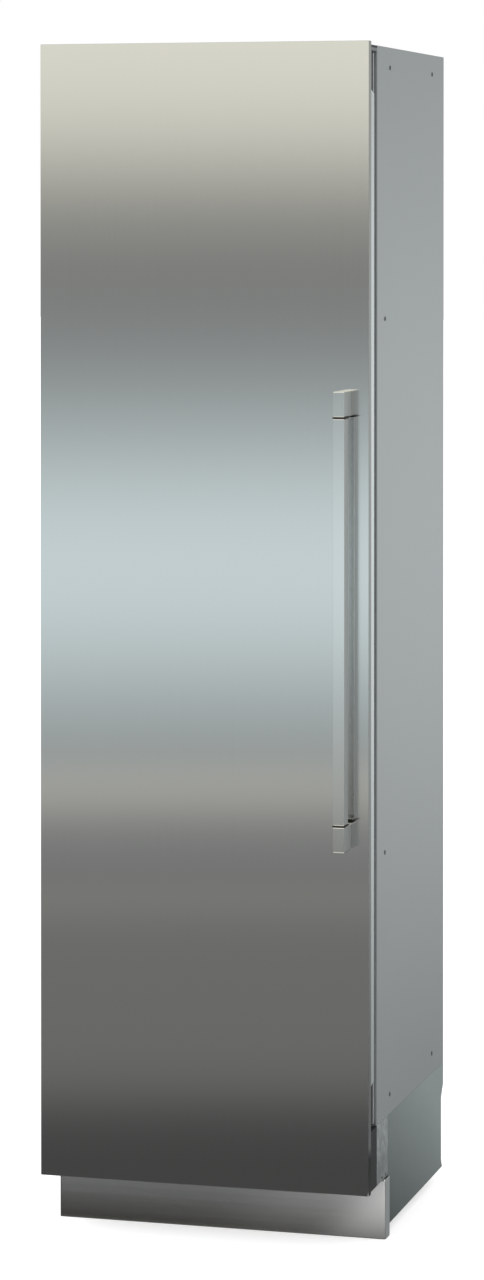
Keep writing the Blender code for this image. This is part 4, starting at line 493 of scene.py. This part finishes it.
def finish_pattern(group, tone, height):
    """Send a pattern's tone and height to its outputs."""
    leave = group.nodes.new("NodeGroupOutput")
    feed(group, leave.inputs["Tone"], tone)
    feed(group, leave.inputs["Height"], height)
    return group


def noise(tree, place, scale, detail=2.0):
    """The value of a noise texture at a place."""
    node = add_node(tree, "ShaderNodeTexNoise")
    feed(tree, node.inputs["Vector"], place)
    feed(tree, node.inputs["Scale"], scale)
    feed(tree, node.inputs["Detail"], detail)
    return node.outputs["Fac"]


def mix_noise(tree, fine, slow, fine_share):
    """The fine noise times its share, plus the slow noise times the rest."""
    fine_part = calculate(tree, "MULTIPLY", fine, fine_share)
    return calculate(tree, "ADD", fine_part, calculate(tree, "MULTIPLY", slow, 1 - fine_share))


def stretch(tree, place, *lines):
    """A place with each axis multiplied by its own number of lines a metre."""
    factors = add_node(tree, "ShaderNodeCombineXYZ")
    for socket, value in zip(factors.inputs, lines):
        feed(tree, socket, value)
    scaled = add_node(tree, "ShaderNodeVectorMath", operation="MULTIPLY")
    feed(tree, scaled.inputs[0], place)
    feed(tree, scaled.inputs[1], factors.outputs[0])
    return scaled.outputs[0]


def brushed_pattern(name, upright):
    """Brush lines along Z where upright, else along X, mixed with broader and longer streaks."""
    group, entry, place = new_pattern(name, "Lines per metre", "Length share")
    lines = entry["Lines per metre"]
    along = calculate(group, "MULTIPLY", lines, entry["Length share"])
    grain = stretch(group, place, *((lines, lines, along) if upright else (along, lines, lines)))
    fine = noise(group, grain, 1.0, detail=3.0)
    streaks = noise(group, grain, STREAK_SCALE)
    return finish_pattern(group, mix_noise(group, fine, streaks, BRUSH_FINE_SHARE), fine)


def skin_pattern():
    """A fine skin, as on paint or moulded plastic: the tone is mostly a slow mottle, the height is the skin."""
    group, entry, place = new_pattern("fine_skin", "Grains per metre", "Mottles per metre")
    fine = noise(group, place, entry["Grains per metre"])
    slow = noise(group, place, entry["Mottles per metre"], detail=3.0)
    return finish_pattern(group, mix_noise(group, fine, slow, SKIN_FINE_SHARE), fine)


def cell_pattern():
    """Cells with a tone each, as zinc flowers or foam: the height rises from each cell's middle to its rim."""
    group, entry, place = new_pattern("cells", "Cells per metre")
    cells = add_node(group, "ShaderNodeTexVoronoi")
    feed(group, cells.inputs["Vector"], place)
    feed(group, cells.inputs["Scale"], entry["Cells per metre"])
    level = add_node(group, "ShaderNodeSeparateColor")
    feed(group, level.inputs[0], cells.outputs["Color"])
    return finish_pattern(group, level.outputs[0], cells.outputs["Distance"])


def side_face_mask():
    """A mask of the faces that look sideways: 1 where the true normal's own X is beyond a limit either way."""
    group = bpy.data.node_groups.new("side_faces", "ShaderNodeTree")
    group.interface.new_socket(name="Mask", in_out="OUTPUT", socket_type="NodeSocketFloat")
    turn = add_node(
        group, "ShaderNodeVectorTransform", vector_type="NORMAL", convert_from="WORLD", convert_to="OBJECT")
    feed(group, turn.inputs[0], add_node(group, "ShaderNodeNewGeometry").outputs["True Normal"])
    axes = add_node(group, "ShaderNodeSeparateXYZ")
    feed(group, axes.inputs[0], turn.outputs[0])
    reach = calculate(group, "ABSOLUTE", axes.outputs["X"])
    sideways = calculate(group, "GREATER_THAN", reach, SIDEWAYS_LIMIT)
    feed(group, group.nodes.new("NodeGroupOutput").inputs["Mask"], sideways)
    return group


def height_fade():
    """A mask over height and depth: start + rise * z + run * y, kept between 0 and 1."""
    group, entry, place = new_pattern("height_fade", "Start", "Rise", "Run")
    axes = add_node(group, "ShaderNodeSeparateXYZ")
    feed(group, axes.inputs[0], place)
    upward = calculate(group, "MULTIPLY_ADD", axes.outputs["Z"], entry["Rise"], entry["Start"])
    total = calculate(group, "MULTIPLY_ADD", axes.outputs["Y"], entry["Run"], upward)
    kept = calculate(group, "MINIMUM", calculate(group, "MAXIMUM", total, 0.0), 1.0)
    return finish_pattern(group, kept, kept)


BRUSHED_UPRIGHT = brushed_pattern("brushed_upright", True)
BRUSHED_LEVEL = brushed_pattern("brushed_level", False)
FINE_SKIN = skin_pattern()
CELLS = cell_pattern()
SIDE_FACES = side_face_mask()
HEIGHT_FADE = height_fade()
print("patterns:", [group.name for group in bpy.data.node_groups])

# %% [markdown]
# ## One way to build a finish
# A finish is a colour, a span of roughness and a relief, all moved a little by one pattern. Some finishes also
# get painted shade and their own roughness on the faces that look sideways, or painted shade that fades over their
# height. Each could be wired by hand, but one helper keeps them alike. Plain facts, such as how metallic a finish is,
# are set on the shader's own sockets.

# %% Finish helper
TONE_SPAN = (0.25, 0.75)


def height_tone(tree, fade_sizes):
    """The Tone of the height fade, from 0 to 1, with its own sizes."""
    group = add_node(tree, "ShaderNodeGroup", node_tree=HEIGHT_FADE)
    for label, value in fade_sizes.items():
        group.inputs[label].default_value = value
    return group.outputs["Tone"]


def shade_sides(tree, colour, roughness, side_share, side_rough, low_shade_share=None, fade_sizes=None):
    """Sideways faces get their own roughness and painted shade: the colour times a share, or another share where a
    fade is 0.
    """
    mask = add_node(tree, "ShaderNodeGroup", node_tree=SIDE_FACES).outputs["Mask"]
    change = side_share - 1
    if fade_sizes:
        tone = height_tone(tree, fade_sizes)
        change = calculate(tree, "MULTIPLY_ADD", tone, side_share - low_shade_share, low_shade_share - 1)
    amount = calculate(tree, "MULTIPLY_ADD", mask, change, 1.0)
    kept = calculate(tree, "MULTIPLY", roughness, calculate(tree, "SUBTRACT", 1.0, mask))
    return scale_colour(tree, colour, amount), calculate(tree, "MULTIPLY_ADD", mask, side_rough, kept)


def paint_low_shade(tree, colour, low_shade_share, fade_sizes):
    """Painted shade: the colour times a share where a fade is 0, and whole where it has reached 1."""
    amount = calculate(tree, "MULTIPLY_ADD", height_tone(tree, fade_sizes), 1 - low_shade_share, low_shade_share)
    return scale_colour(tree, colour, amount)


def make_finish(name, dark, light, rough, relief, pattern, pattern_sizes, sides=None, fade=None, **facts):
    """A Principled finish, whose Tone moves the colour from dark to light and the roughness along its span, and
    whose Height makes the relief, given as a strength and a distance in metres."""
    material = bpy.data.materials.new(name)
    material.use_nodes = True
    tree = material.node_tree
    shader = tree.nodes["Principled BSDF"]
    group = add_node(tree, "ShaderNodeGroup", node_tree=pattern)
    for label, value in pattern_sizes.items():
        group.inputs[label].default_value = value
    colour = tint(tree, group.outputs["Tone"], (*dark, 1), (*light, 1))
    span = add_node(tree, "ShaderNodeMapRange")
    feed(tree, span.inputs["Value"], group.outputs["Tone"])
    for label, value in zip(("From Min", "From Max", "To Min", "To Max"), (*TONE_SPAN, *rough)):
        feed(tree, span.inputs[label], value)
    roughness = span.outputs["Result"]
    if sides:
        colour, roughness = shade_sides(tree, colour, roughness, *sides)
    if fade:
        colour = paint_low_shade(tree, colour, *fade)
    feed(tree, shader.inputs["Base Color"], colour)
    feed(tree, shader.inputs["Roughness"], roughness)
    bump = add_node(tree, "ShaderNodeBump")
    feed(tree, bump.inputs["Strength"], relief[0])
    feed(tree, bump.inputs["Distance"], relief[1])
    feed(tree, bump.inputs["Height"], group.outputs["Height"])
    feed(tree, shader.inputs["Normal"], bump.outputs[0])
    for label, value in facts.items():
        shader.inputs[label.replace("_", " ")].default_value = value
    return material


print("finish helper ready")

# %% [markdown]
# ## Metals
# The door, the handle and the plinth are stainless steel, brushed upright on the door and level on the plinth.
# Brushing scatters light across the grain and hardly along it, which is what the anisotropic value says. The cut
# and folded side faces aren't brushed and get their own roughness, and a mask of the faces that look sideways
# darkens them as painted shade; the panel's edge gets more painted shade at its lowest end, as in the photograph.
# The handle's steel is lighter than the door's, as painted light. The edge strips are a satin extrusion, and the
# beam and the brackets are coated with zinc, which leaves its flowers on them; the beam is darker low down as
# painted shade.

# %% Metal finishes
BRUSH = {"Lines per metre": 1900.0, "Length share": 0.0035}
STRIP_BRUSH = {"Lines per metre": 2600.0, "Length share": 0.002}
# These painted shade fades go from 0 to 1 between 0.170 and 0.190 m, and between 0.143 and 0.163 m above the floor.
DOOR_EDGE_SHADE_FADE = {"Start": -8.5, "Rise": 50.0, "Run": 0.0}
BEAM_SHADE_FADE = {"Start": -7.15, "Rise": 50.0, "Run": 0.0}

# A finish gets its name, its dark and light colour, its span of roughness, its relief, its pattern and the
# pattern's sizes. Where it has sides, these are the colour's share, which paints shade, and the roughness on faces
# that look sideways, and for the panel also the share of deeper painted shade at the low end of a fade.
FINISH = {}
# The door's sideways faces are darkened as painted shade, and further at their low end.
FINISH["brushed_steel"] = make_finish(
    "brushed_steel", (0.785, 0.785, 0.782), (0.815, 0.815, 0.812), (0.08, 0.095), (0.012, 0.00005),
    BRUSHED_UPRIGHT, BRUSH, sides=(0.68, 0.50, 0.20, DOOR_EDGE_SHADE_FADE), Metallic=1.0, Anisotropic=1.0)
# The handle's steel is lighter than the door's as painted light, for light bounced between bar and door, and its
# sideways faces are darkened as painted shade.
FINISH["brushed_handle"] = make_finish(
    "brushed_handle", (0.865, 0.865, 0.86), (0.895, 0.895, 0.89), (0.11, 0.13), (0.012, 0.00005),
    BRUSHED_UPRIGHT, BRUSH, sides=(0.63, 0.45), Metallic=1.0, Anisotropic=0.9)
# The plinth's sideways faces are darkened as painted shade.
FINISH["brushed_plinth"] = make_finish(
    "brushed_plinth", (0.76, 0.76, 0.757), (0.80, 0.80, 0.797), (0.15, 0.19), (0.015, 0.00005),
    BRUSHED_LEVEL, BRUSH, sides=(0.82, 0.50), Metallic=1.0, Anisotropic=0.8, Anisotropic_Rotation=0.25)
FINISH["copper"] = make_finish(
    "copper_pipe", (0.68, 0.36, 0.24), (0.80, 0.47, 0.33), (0.24, 0.40), (0.08, 0.0001),
    CELLS, {"Cells per metre": 90.0}, Metallic=1.0)
FINISH["aluminium"] = make_finish(
    "satin_aluminium", (0.90, 0.905, 0.905), (0.93, 0.93, 0.93), (0.37, 0.44), (0.05, 0.0001),
    BRUSHED_UPRIGHT, STRIP_BRUSH, Metallic=1.0, Anisotropic=0.6)
# The beam is darker below 0.143 m as painted shade.
FINISH["galvanised"] = make_finish(
    "galvanised_beam", (0.66, 0.67, 0.68), (0.80, 0.81, 0.82), (0.36, 0.50), (0.10, 0.0002),
    CELLS, {"Cells per metre": 110.0}, fade=(0.78, BEAM_SHADE_FADE), Metallic=1.0)
FINISH["zinc_steel"] = make_finish(
    "zinc_plate", (0.50, 0.51, 0.52), (0.66, 0.67, 0.68), (0.30, 0.46), (0.10, 0.0002),
    CELLS, {"Cells per metre": 160.0}, Metallic=1.0)
print("metals:", list(FINISH))

# %% [markdown]
# ## Paint, plastics and rubber
# The sides are grey coated sheet with a low sheen, the base sides are moulded in a darker grey-green, and the inside
# is white and clear plastic. Each gets a fine skin, so that a highlight breaks up as it does on the real surface.
# The side sheets' folds are darker than their faces, the door's pan is darker low down, and the base sides are
# darker at their lower front, all as painted shade. One even colour would be simpler, but the photograph shows these
# differences.

# %% Coated and moulded finishes
SHEET_SKIN = {"Grains per metre": 900.0, "Mottles per metre": 5.0}
MOULD_SKIN = {"Grains per metre": 1400.0, "Mottles per metre": 14.0}
ENAMEL_SKIN = {"Grains per metre": 500.0, "Mottles per metre": 25.0}
DISPLAY_SKIN = {"Grains per metre": 120.0, "Mottles per metre": 8.0}
# The pan's fade of painted shade goes from 0 to 1 between 1 and 2 m, and the trim's, which paints the shade of the
# gap over the door, from 1 to 0 over the millimetre above 2.1209 m.
DOOR_PAN_SHADE_FADE = {"Start": -1.0, "Rise": 1.0, "Run": 0.0}
# The base side's fade: painted shade, darker at the lower front and lighter higher up and further back.
BASE_SIDE_SHADE_FADE = {"Start": 0.16, "Rise": 2.65, "Run": 1.65}
TRIM_GAP_SHADE_FADE = {"Start": 2121.9, "Rise": -1000.0, "Run": 0.0}

FINISH["grey_sheet"] = make_finish(
    "grey_coated_sheet", (0.258, 0.272, 0.275), (0.272, 0.286, 0.289), (0.27, 0.31), (0.02, 0.0001),
    FINE_SKIN, SHEET_SKIN, Specular_IOR_Level=0.55)
# The side sheets' returns and folds keep a darker colour as painted shade; the faces that look sideways are brought
# back to the sheet's grey.
FINISH["side_sheet"] = make_finish(
    "grey_side_sheet", (0.178, 0.188, 0.190), (0.188, 0.197, 0.199), (0.27, 0.31), (0.02, 0.0001),
    FINE_SKIN, SHEET_SKIN, sides=(1.45, 0.29), Specular_IOR_Level=0.55)
# The door's pan is darker low down, between 1 and 2 m, as painted shade.
FINISH["door_sheet"] = make_finish(
    "door_side_sheet", (0.056, 0.059, 0.059), (0.064, 0.067, 0.067), (0.48, 0.54), (0.03, 0.0001),
    FINE_SKIN, SHEET_SKIN, fade=(0.35, DOOR_PAN_SHADE_FADE), Specular_IOR_Level=0.35)
# The base sides are darker at their lower front as painted shade.
FINISH["base_plastic"] = make_finish(
    "base_side_moulding", (0.256, 0.298, 0.292), (0.276, 0.321, 0.315), (0.34, 0.42), (0.05, 0.0002),
    FINE_SKIN, MOULD_SKIN, fade=(0.28, BASE_SIDE_SHADE_FADE))
FINISH["black_plastic"] = make_finish(
    "black_moulding", (0.012, 0.012, 0.013), (0.022, 0.022, 0.023), (0.42, 0.55), (0.10, 0.0002),
    FINE_SKIN, MOULD_SKIN)
# The trim's top is near black as painted shade of the gap over the door.
FINISH["trim_plastic"] = make_finish(
    "trim_with_painted_gap_shade", (0.185, 0.192, 0.193), (0.200, 0.207, 0.208), (0.42, 0.55), (0.05, 0.0002),
    FINE_SKIN, MOULD_SKIN, fade=(0.08, TRIM_GAP_SHADE_FADE))
FINISH["white_plastic"] = make_finish(
    "white_moulding", (0.78, 0.79, 0.79), (0.84, 0.85, 0.85), (0.28, 0.38), (0.04, 0.0002),
    FINE_SKIN, MOULD_SKIN)
FINISH["gasket_rubber"] = make_finish(
    "gasket_rubber", (0.26, 0.27, 0.28), (0.33, 0.34, 0.35), (0.55, 0.70), (0.10, 0.0002),
    FINE_SKIN, MOULD_SKIN)
FINISH["black_enamel"] = make_finish(
    "black_enamel", (0.012, 0.012, 0.014), (0.022, 0.022, 0.024), (0.20, 0.30), (0.12, 0.0004),
    FINE_SKIN, ENAMEL_SKIN)
FINISH["foam"] = make_finish(
    "rigid_foam", (0.66, 0.56, 0.36), (0.80, 0.70, 0.48), (0.80, 0.95), (0.60, 0.001),
    CELLS, {"Cells per metre": 700.0})
FINISH["light_diffuser"] = make_finish(
    "frosted_light_cover", (0.90, 0.91, 0.92), (0.96, 0.97, 0.98), (0.40, 0.50), (0.10, 0.0002),
    FINE_SKIN, MOULD_SKIN, Emission_Color=(0.92, 0.96, 1.0, 1), Emission_Strength=0.7)
FINISH["dark_glass"] = make_finish(
    "display_glass", (0.010, 0.010, 0.012), (0.016, 0.016, 0.018), (0.04, 0.08), (0.01, 0.0001),
    FINE_SKIN, DISPLAY_SKIN, Coat_Weight=1.0)
print("coated and moulded:", len(FINISH), "finishes so far")

# %% [markdown]
# ## Clear plastic and glass
# Drawers, racks and the ice bin are clear plastic with a cool tint, and the shelves are glass with a greenish one.
# Both pass light through the shader's transmission, which shows what is behind and bends it, as a plain
# see-through material can't.

# %% Clear finishes
CLEAR_SKIN = {"Grains per metre": 240.0, "Mottles per metre": 20.0}
GLASS_SKIN = {"Grains per metre": 90.0, "Mottles per metre": 6.0}

FINISH["clear_plastic"] = make_finish(
    "clear_moulding", (0.88, 0.93, 0.95), (0.93, 0.97, 0.98), (0.06, 0.12), (0.05, 0.0003),
    FINE_SKIN, CLEAR_SKIN, Transmission_Weight=0.92, IOR=1.49)
FINISH["glass"] = make_finish(
    "shelf_glass", (0.80, 0.93, 0.89), (0.84, 0.95, 0.91), (0.01, 0.04), (0.01, 0.0002),
    FINE_SKIN, GLASS_SKIN, Transmission_Weight=0.96, IOR=1.52)
print("all finishes:", sorted(FINISH))

# %% [markdown]
# ## Dress the imported pieces
# Each node names its finish in the record, so one loop gives every rigid piece its material. A few pieces differ
# from their slot's usual finish: the plinth's steel is brushed level, the handle's is lighter as painted light, the
# beam is brighter zinc with painted shade low down, the side sheets' returns are darker than their faces as painted
# shade, the door's pan is a darker sheet with painted shade low down, and the trim over the door is grey with a
# near-black top as painted shade of the gap there.

# %% Give each node its finish
OTHER_FINISH = {
    "toe_kick": "brushed_plinth",
    "handle_bar": "brushed_handle",
    "handle_post_lower": "brushed_handle",
    "handle_post_upper": "brushed_handle",
    "cross_member": "galvanised",
    "side_panel_left": "side_sheet",
    "side_panel_right": "side_sheet",
    "door_shell": "door_sheet",
    "top_trim": "trim_plastic",
}

for name, node in frame["nodes"].items():
    node.data.materials.clear()
    node.data.materials.append(FINISH[OTHER_FINISH.get(name, SLOT_OF[name])])
print("dressed", len(frame["nodes"]), "nodes")

# %% [markdown]
# ## Screws
# The photograph shows six small dark screw heads on the side sheet and two smaller ones on the folded beam. The
# hinge plate and the back sheet are held by screws too. A head is a turned form: a flat dome that rolls over to its
# rim, with a dished drive in the middle. Plain discs would do from afar, but a rim catches the light as a real one
# does. One function turns as many heads as a face needs.

# %% Screw heads
SCREW_SIDES = 20
# Shares of a head's radius and rise, from the floor of the drive over the dome and the rim to the underside.
HEAD_PROFILE_SHARES = np.array(
    [(0.0, 0.35), (0.22, 0.40), (0.34, 0.92), (0.62, 1.0), (0.86, 0.86), (1.0, 0.30), (1.0, 0.0), (0.0, 0.0)])
# For each face: the direction out of it and two along it, which follow each other as X, Y and Z do.
OUTWARD = {
    "right": np.array([(1, 0, 0), (0, 1, 0), (0, 0, 1)]),
    "left": np.array([(-1, 0, 0), (0, -1, 0), (0, 0, 1)]),
    "back": np.array([(0, 1, 0), (0, 0, 1), (1, 0, 0)]),
    "up": np.array([(0, 0, 1), (1, 0, 0), (0, 1, 0)]),
}

FINISH["screw"] = make_finish(
    "dark_screw", (0.05, 0.05, 0.05), (0.10, 0.10, 0.10), (0.35, 0.50), (0.05, 0.0001), FINE_SKIN, MOULD_SKIN)


def screw_heads(name, centres, facing, head_size, finish):
    """Turned heads: centre + h * outward + r * (cos a * across + sin a * up), over a profile of radius r, rise h."""
    radius, rise = head_size
    outward, across, up = OUTWARD[facing]
    turn = np.linspace(0, math.tau, SCREW_SIDES, endpoint=False)[None, :, None]
    spread = HEAD_PROFILE_SHARES[:, :1, None] * radius
    lift = HEAD_PROFILE_SHARES[:, 1:, None] * rise
    head = lift * outward + spread * (np.cos(turn) * across + np.sin(turn) * up)
    points = np.array(centres)[:, None, None, :] + head[None]
    one = grid_faces(*head.shape[:2], close_columns=True)
    faces = np.concatenate([one + index * head[..., 0].size for index in range(len(centres))])
    heads = make_piece(name, points, faces)
    heads.data.materials.append(FINISH[finish])
    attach(heads, "cabinet")
    print(name, "has", len(centres), "heads")


# %% Place the screws
# Distances behind the door's face, and heights.
SIDE_SCREWS = ((0.164, 2.090), (0.506, 2.090), (0.126, 1.642), (0.126, 0.690), (0.164, 0.250), (0.506, 0.252))
BEAM_SCREWS = ((0.104, 0.1140), (0.134, 0.1125))
BACK_SCREW_X = 0.287
BACK_SCREW_HEIGHTS = (0.235, 0.610, 0.985, 1.360, 1.735, 2.105)
# The beads of the back sheet stand this far out of its flat, where the screws sit.
BEAD_RISE = 0.003
# Places on the top hinge's plate, in X and Y.
HINGE_SCREWS = ((-0.276, -0.195), (-0.236, -0.195), (-0.276, -0.152), (-0.236, -0.152))
# Radius and rise of each kind of head.
SIDE_HEAD = (0.0042, 0.0012)
BEAM_HEAD = (0.0022, 0.0008)
BACK_HEAD = (0.0042, 0.0016)
HINGE_HEAD = (0.0045, 0.0014)

for facing, side in (("left", -1), ("right", 1)):
    on_side = [(side * SIDE_X, FACE_Y + depth, height) for depth, height in SIDE_SCREWS]
    screw_heads("side_screws_" + facing, on_side, facing, SIDE_HEAD, "screw")
    on_beam = [(side * SIDE_X, FACE_Y + depth, height) for depth, height in BEAM_SCREWS]
    screw_heads("beam_screws_" + facing, on_beam, facing, BEAM_HEAD, "screw")
back_flat = BOX["back_panel"][1][1] - BEAD_RISE
on_back = [(x, back_flat, height) for x in (-BACK_SCREW_X, BACK_SCREW_X) for height in BACK_SCREW_HEIGHTS]
screw_heads("back_screws", on_back, "back", BACK_HEAD, "zinc_steel")
on_hinge = [(x, y, BOX["hinge_top"][1][2]) for x, y in HINGE_SCREWS]
screw_heads("hinge_screws", on_hinge, "up", HINGE_HEAD, "zinc_steel")

# %% [markdown]
# ## Door seal
# The magnetic seal is an extruded bellows, cut at 45 degrees and welded at each corner. Its section has a flat base
# that snaps into the inner door, two soft folds and a flat face over the magnet. The section is carried round the
# door's back edge with mitred corners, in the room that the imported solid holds. A curve with a bevel would round
# those corners, and the real seal is cut and welded there.

# %% Bellows seal
SEAL_WIDTH = 0.0175
SEAL_FOLDS = 2
SEAL_FOLD_DEPTH = 0.0032
SEAL_LIP_SHARE = 0.16
SEAL_STEPS = 41


def bellows_section(width, thickness):
    """Insets and depths: both side walls run in by fold * sin squared (folds * pi * t) between flat lips."""
    t = np.linspace(0, 1, SEAL_STEPS)
    inner_t = np.clip((t - SEAL_LIP_SHARE) / (1 - 2 * SEAL_LIP_SHARE), 0, 1)
    fold = SEAL_FOLD_DEPTH * np.sin(SEAL_FOLDS * math.pi * inner_t) ** 2
    outer = np.stack([fold, t * thickness], axis=-1)
    inner = np.stack([width - fold, t * thickness], axis=-1)[::-1]
    return np.concatenate([outer, inner])


def mitred_sweep(name, section, low, high):
    """A section carried round a frame: its corners are (x +/- inset, z +/- inset), each point at its own depth."""
    inset, depth = section[:, 0], section[:, 1]
    lower, upper = (low[2], 1), (high[2], -1)
    left, right = (low[0], 1), (high[0], -1)
    rings = [
        np.stack([x + dx * inset, low[1] + depth, z + dz * inset], axis=-1)
        for (x, dx), (z, dz) in ((left, lower), (right, lower), (right, upper), (left, upper))]
    faces = grid_faces(4, len(section), close_rows=True, close_columns=True)
    return make_piece(name, np.array(rings), faces[:, ::-1])


seal_low, seal_high = BOX["door_gasket"]
seal_section = bellows_section(SEAL_WIDTH, seal_high[1] - seal_low[1])
seal = mitred_sweep("door_seal", seal_section, seal_low, seal_high)
seal.data.materials.append(FINISH["gasket_rubber"])
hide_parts("door_gasket")
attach(seal, "door")
print("door seal has", len(seal.data.polygons), "faces")

# %% [markdown]
# ## Copper pipes
# Two copper pipes leave the compressor: one runs along the tray to the condenser's end, and one rises into the foam
# towards the evaporator. Each is a round tube on one smooth curve through a few points, closed at both ends. A curve
# object would draw it as well, but an array needs no conversion and shows how a frame is carried along a path.

# %% Pipes
PIPE_RADIUS = 0.003
PIPE_SIDES = 12
PIPE_STEPS = 14
# A direction that neither pipe ever follows, so that it always gives a way across the path.
PIPE_REFERENCE = np.array((0.33, 0.47, 0.82))
DISCHARGE_KNOTS = (
    (0.106, 0.193, 0.125), (0.088, 0.189, 0.127), (0.045, 0.160, 0.140), (-0.100, 0.128, 0.150),
    (-0.215, 0.120, 0.153), (-0.260, 0.090, 0.1533), (-0.266, 0.010, 0.1533), (-0.260, -0.048, 0.1533),
    (-0.236, -0.062, 0.1533))
SUCTION_KNOTS = (
    (0.222, 0.212, 0.120), (0.246, 0.220, 0.120), (0.270, 0.226, 0.134), (0.277, 0.230, 0.170),
    (0.277, 0.230, 0.2155))


def smooth_path(knots):
    """Catmull-Rom through the knots: half of 2b + (c-a)t + (2a-5b+4c-d)t^2 + (3b-a-3c+d)t^3 between b and c."""
    knots = np.array(knots)
    knots = np.concatenate([2 * knots[:1] - knots[1:2], knots, 2 * knots[-1:] - knots[-2:-1]])
    a, b, c, d = (knots[i:len(knots) - 3 + i, None] for i in range(4))
    t = np.linspace(0, 1, PIPE_STEPS, endpoint=False)[None, :, None]
    run = (2 * b + (c - a) * t + (2 * a - 5 * b + 4 * c - d) * t ** 2 + (3 * b - a - 3 * c + d) * t ** 3) / 2
    return np.concatenate([run.reshape(-1, 3), knots[-2:-1]])


def pipe(name, knots):
    """A round tube: path + r * (cos a * n + sin a * m), with n and m across the path and r = 0 at its ends."""
    path = smooth_path(knots)
    along = np.gradient(path, axis=0)
    along /= np.linalg.norm(along, axis=1, keepdims=True)
    n = np.cross(along, PIPE_REFERENCE)
    n /= np.linalg.norm(n, axis=1, keepdims=True)
    m = np.cross(along, n)
    ends = [0, *range(len(path)), len(path) - 1]
    radius = np.full((len(ends), 1, 1), PIPE_RADIUS)
    radius[[0, -1]] = 0
    turn = np.linspace(0, math.tau, PIPE_SIDES, endpoint=False)[None, :, None]
    across = np.cos(turn) * n[ends][:, None] + np.sin(turn) * m[ends][:, None]
    points = path[ends][:, None] + radius * across
    faces = grid_faces(len(ends), PIPE_SIDES, close_columns=True)
    tube = make_piece(name, points, faces[:, ::-1])
    tube.data.materials.append(FINISH["copper"])
    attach(tube, "cabinet")
    print(name, "is", round(float(np.linalg.norm(np.diff(path, axis=0), axis=1).sum()), 3), "m long")


pipe("discharge_pipe", DISCHARGE_KNOTS)
pipe("suction_pipe", SUCTION_KNOTS)

# %% [markdown]
# ## Control display
# The control panel under the ceiling has a dark glass window on its sloping face. It is a thin plate with round
# corners, laid on that slope, dark and blank. A bevelled box could stand for it, but rings from its middle give the
# round corners and the soft rim with few faces.

# %% Display window
DISPLAY_HALF = (0.055, 0.016)
DISPLAY_CORNER = 0.005
DISPLAY_RISE = 0.0007
DISPLAY_STEPS = 6
# Shares of the plate's reach and rise, from its middle over the rim to the middle of its back.
DISPLAY_RINGS = ((0, 1), (0.97, 1), (1, 0.6), (1, 0), (0, 0))
# The slope starts and ends this far from the panel's edges.
CONTROL_NOSE = 0.008


def round_plate(name, middle, across, along, rise):
    """Rings of a rounded rectangle, from its middle over the rim and back: middle + x*across + y*along + h*out."""
    out = np.cross(across, along)
    quarter = np.linspace(0, math.pi / 2, DISPLAY_STEPS)
    turn = np.concatenate([quarter + index * math.pi / 2 for index in range(4)])
    signs = np.array([(1, 1), (-1, 1), (-1, -1), (1, -1)]).repeat(DISPLAY_STEPS, axis=0)
    core = signs * (np.array(DISPLAY_HALF) - DISPLAY_CORNER)
    rim = core + DISPLAY_CORNER * np.stack([np.cos(turn), np.sin(turn)], axis=-1)
    flat = rim[:, :1] * across + rim[:, 1:] * along
    grid = np.array([middle + reach * flat + lift * rise * out for reach, lift in DISPLAY_RINGS])
    return make_piece(name, grid, grid_faces(*grid.shape[:2], close_columns=True))


control_low, control_high = BOX["control_panel"]
slope_front = np.array((0, control_low[1], control_high[2] - CONTROL_NOSE))
slope_back = np.array((0, control_high[1] - CONTROL_NOSE, control_low[2]))
slope_middle = (slope_front + slope_back) / 2
down_slope = (slope_back - slope_front) / np.linalg.norm(slope_back - slope_front)
leftward = np.array((-1.0, 0, 0))
display = round_plate("display_window", slope_middle, leftward, down_slope, DISPLAY_RISE)
display.data.materials.append(FINISH["dark_glass"])
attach(display, "cabinet")
print("display window has", len(display.data.polygons), "faces")

# %% [markdown]
# ## Plinth hem
# In the photograph the plinth's steel reaches right up to the folded beam and ends in a light rolled edge. The
# packed plate stops a few millimetres lower, so a hem runs along its top, round the front and both side returns. A
# raised copy of the plate would fill the gap too, but a swept section also gives the rolled edge.

# %% Rolled hem
HEM_RISE = 0.005
HEM_LAP = 0.0005
HEM_PROUD = 0.0002
HEM_WALL = 0.0016
HEM_CORNER = 0.003
HEM_STEPS = 9
# Shares of the hem's wall and rise: up the outside, over the rounded edge and down the inside.
HEM_SECTION = np.array([(0.0, 0.0), (0.0, 0.86), (0.25, 1.0), (0.75, 1.0), (1.0, 0.86), (1.0, 0.0)])


def rolled_hem(name, low, high):
    """A section swept round three sides: path + (proud - t * wall) * outward, at bottom + s * rise, ends in poles."""
    turn = np.linspace(math.pi, 1.5 * math.pi, HEM_STEPS)
    left = np.stack([np.cos(turn), np.sin(turn)], axis=-1)
    right = left[::-1] * (-1, 1)
    front = low[1] + HEM_CORNER
    left_corner = np.array((low[0] + HEM_CORNER, front)) + HEM_CORNER * left
    right_corner = np.array((high[0] - HEM_CORNER, front)) + HEM_CORNER * right
    path = np.concatenate([[(low[0], high[1])], left_corner, right_corner, [(high[0], high[1])]])
    outward = np.concatenate([[(-1, 0)], left, right, [(1, 0)]])
    reach = (HEM_PROUD - HEM_SECTION[:, 0] * HEM_WALL)[None, :, None]
    plan = path[:, None] + outward[:, None] * reach
    height = high[2] - HEM_LAP + HEM_SECTION[:, 1] * (HEM_RISE + HEM_LAP)
    rings = np.concatenate([plan, np.broadcast_to(height[None, :, None], (*plan.shape[:2], 1))], axis=2)
    poles = rings[[0, -1]].mean(axis=1, keepdims=True).repeat(rings.shape[1], axis=1)
    rings = np.concatenate([poles[:1], rings, poles[1:]])
    return make_piece(name, rings, grid_faces(*rings.shape[:2], close_columns=True))


hem = rolled_hem("plinth_hem", *BOX["toe_kick"])
hem.data.materials.append(FINISH["brushed_plinth"])
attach(hem, "cabinet")
print("plinth hem has", len(hem.data.polygons), "faces")
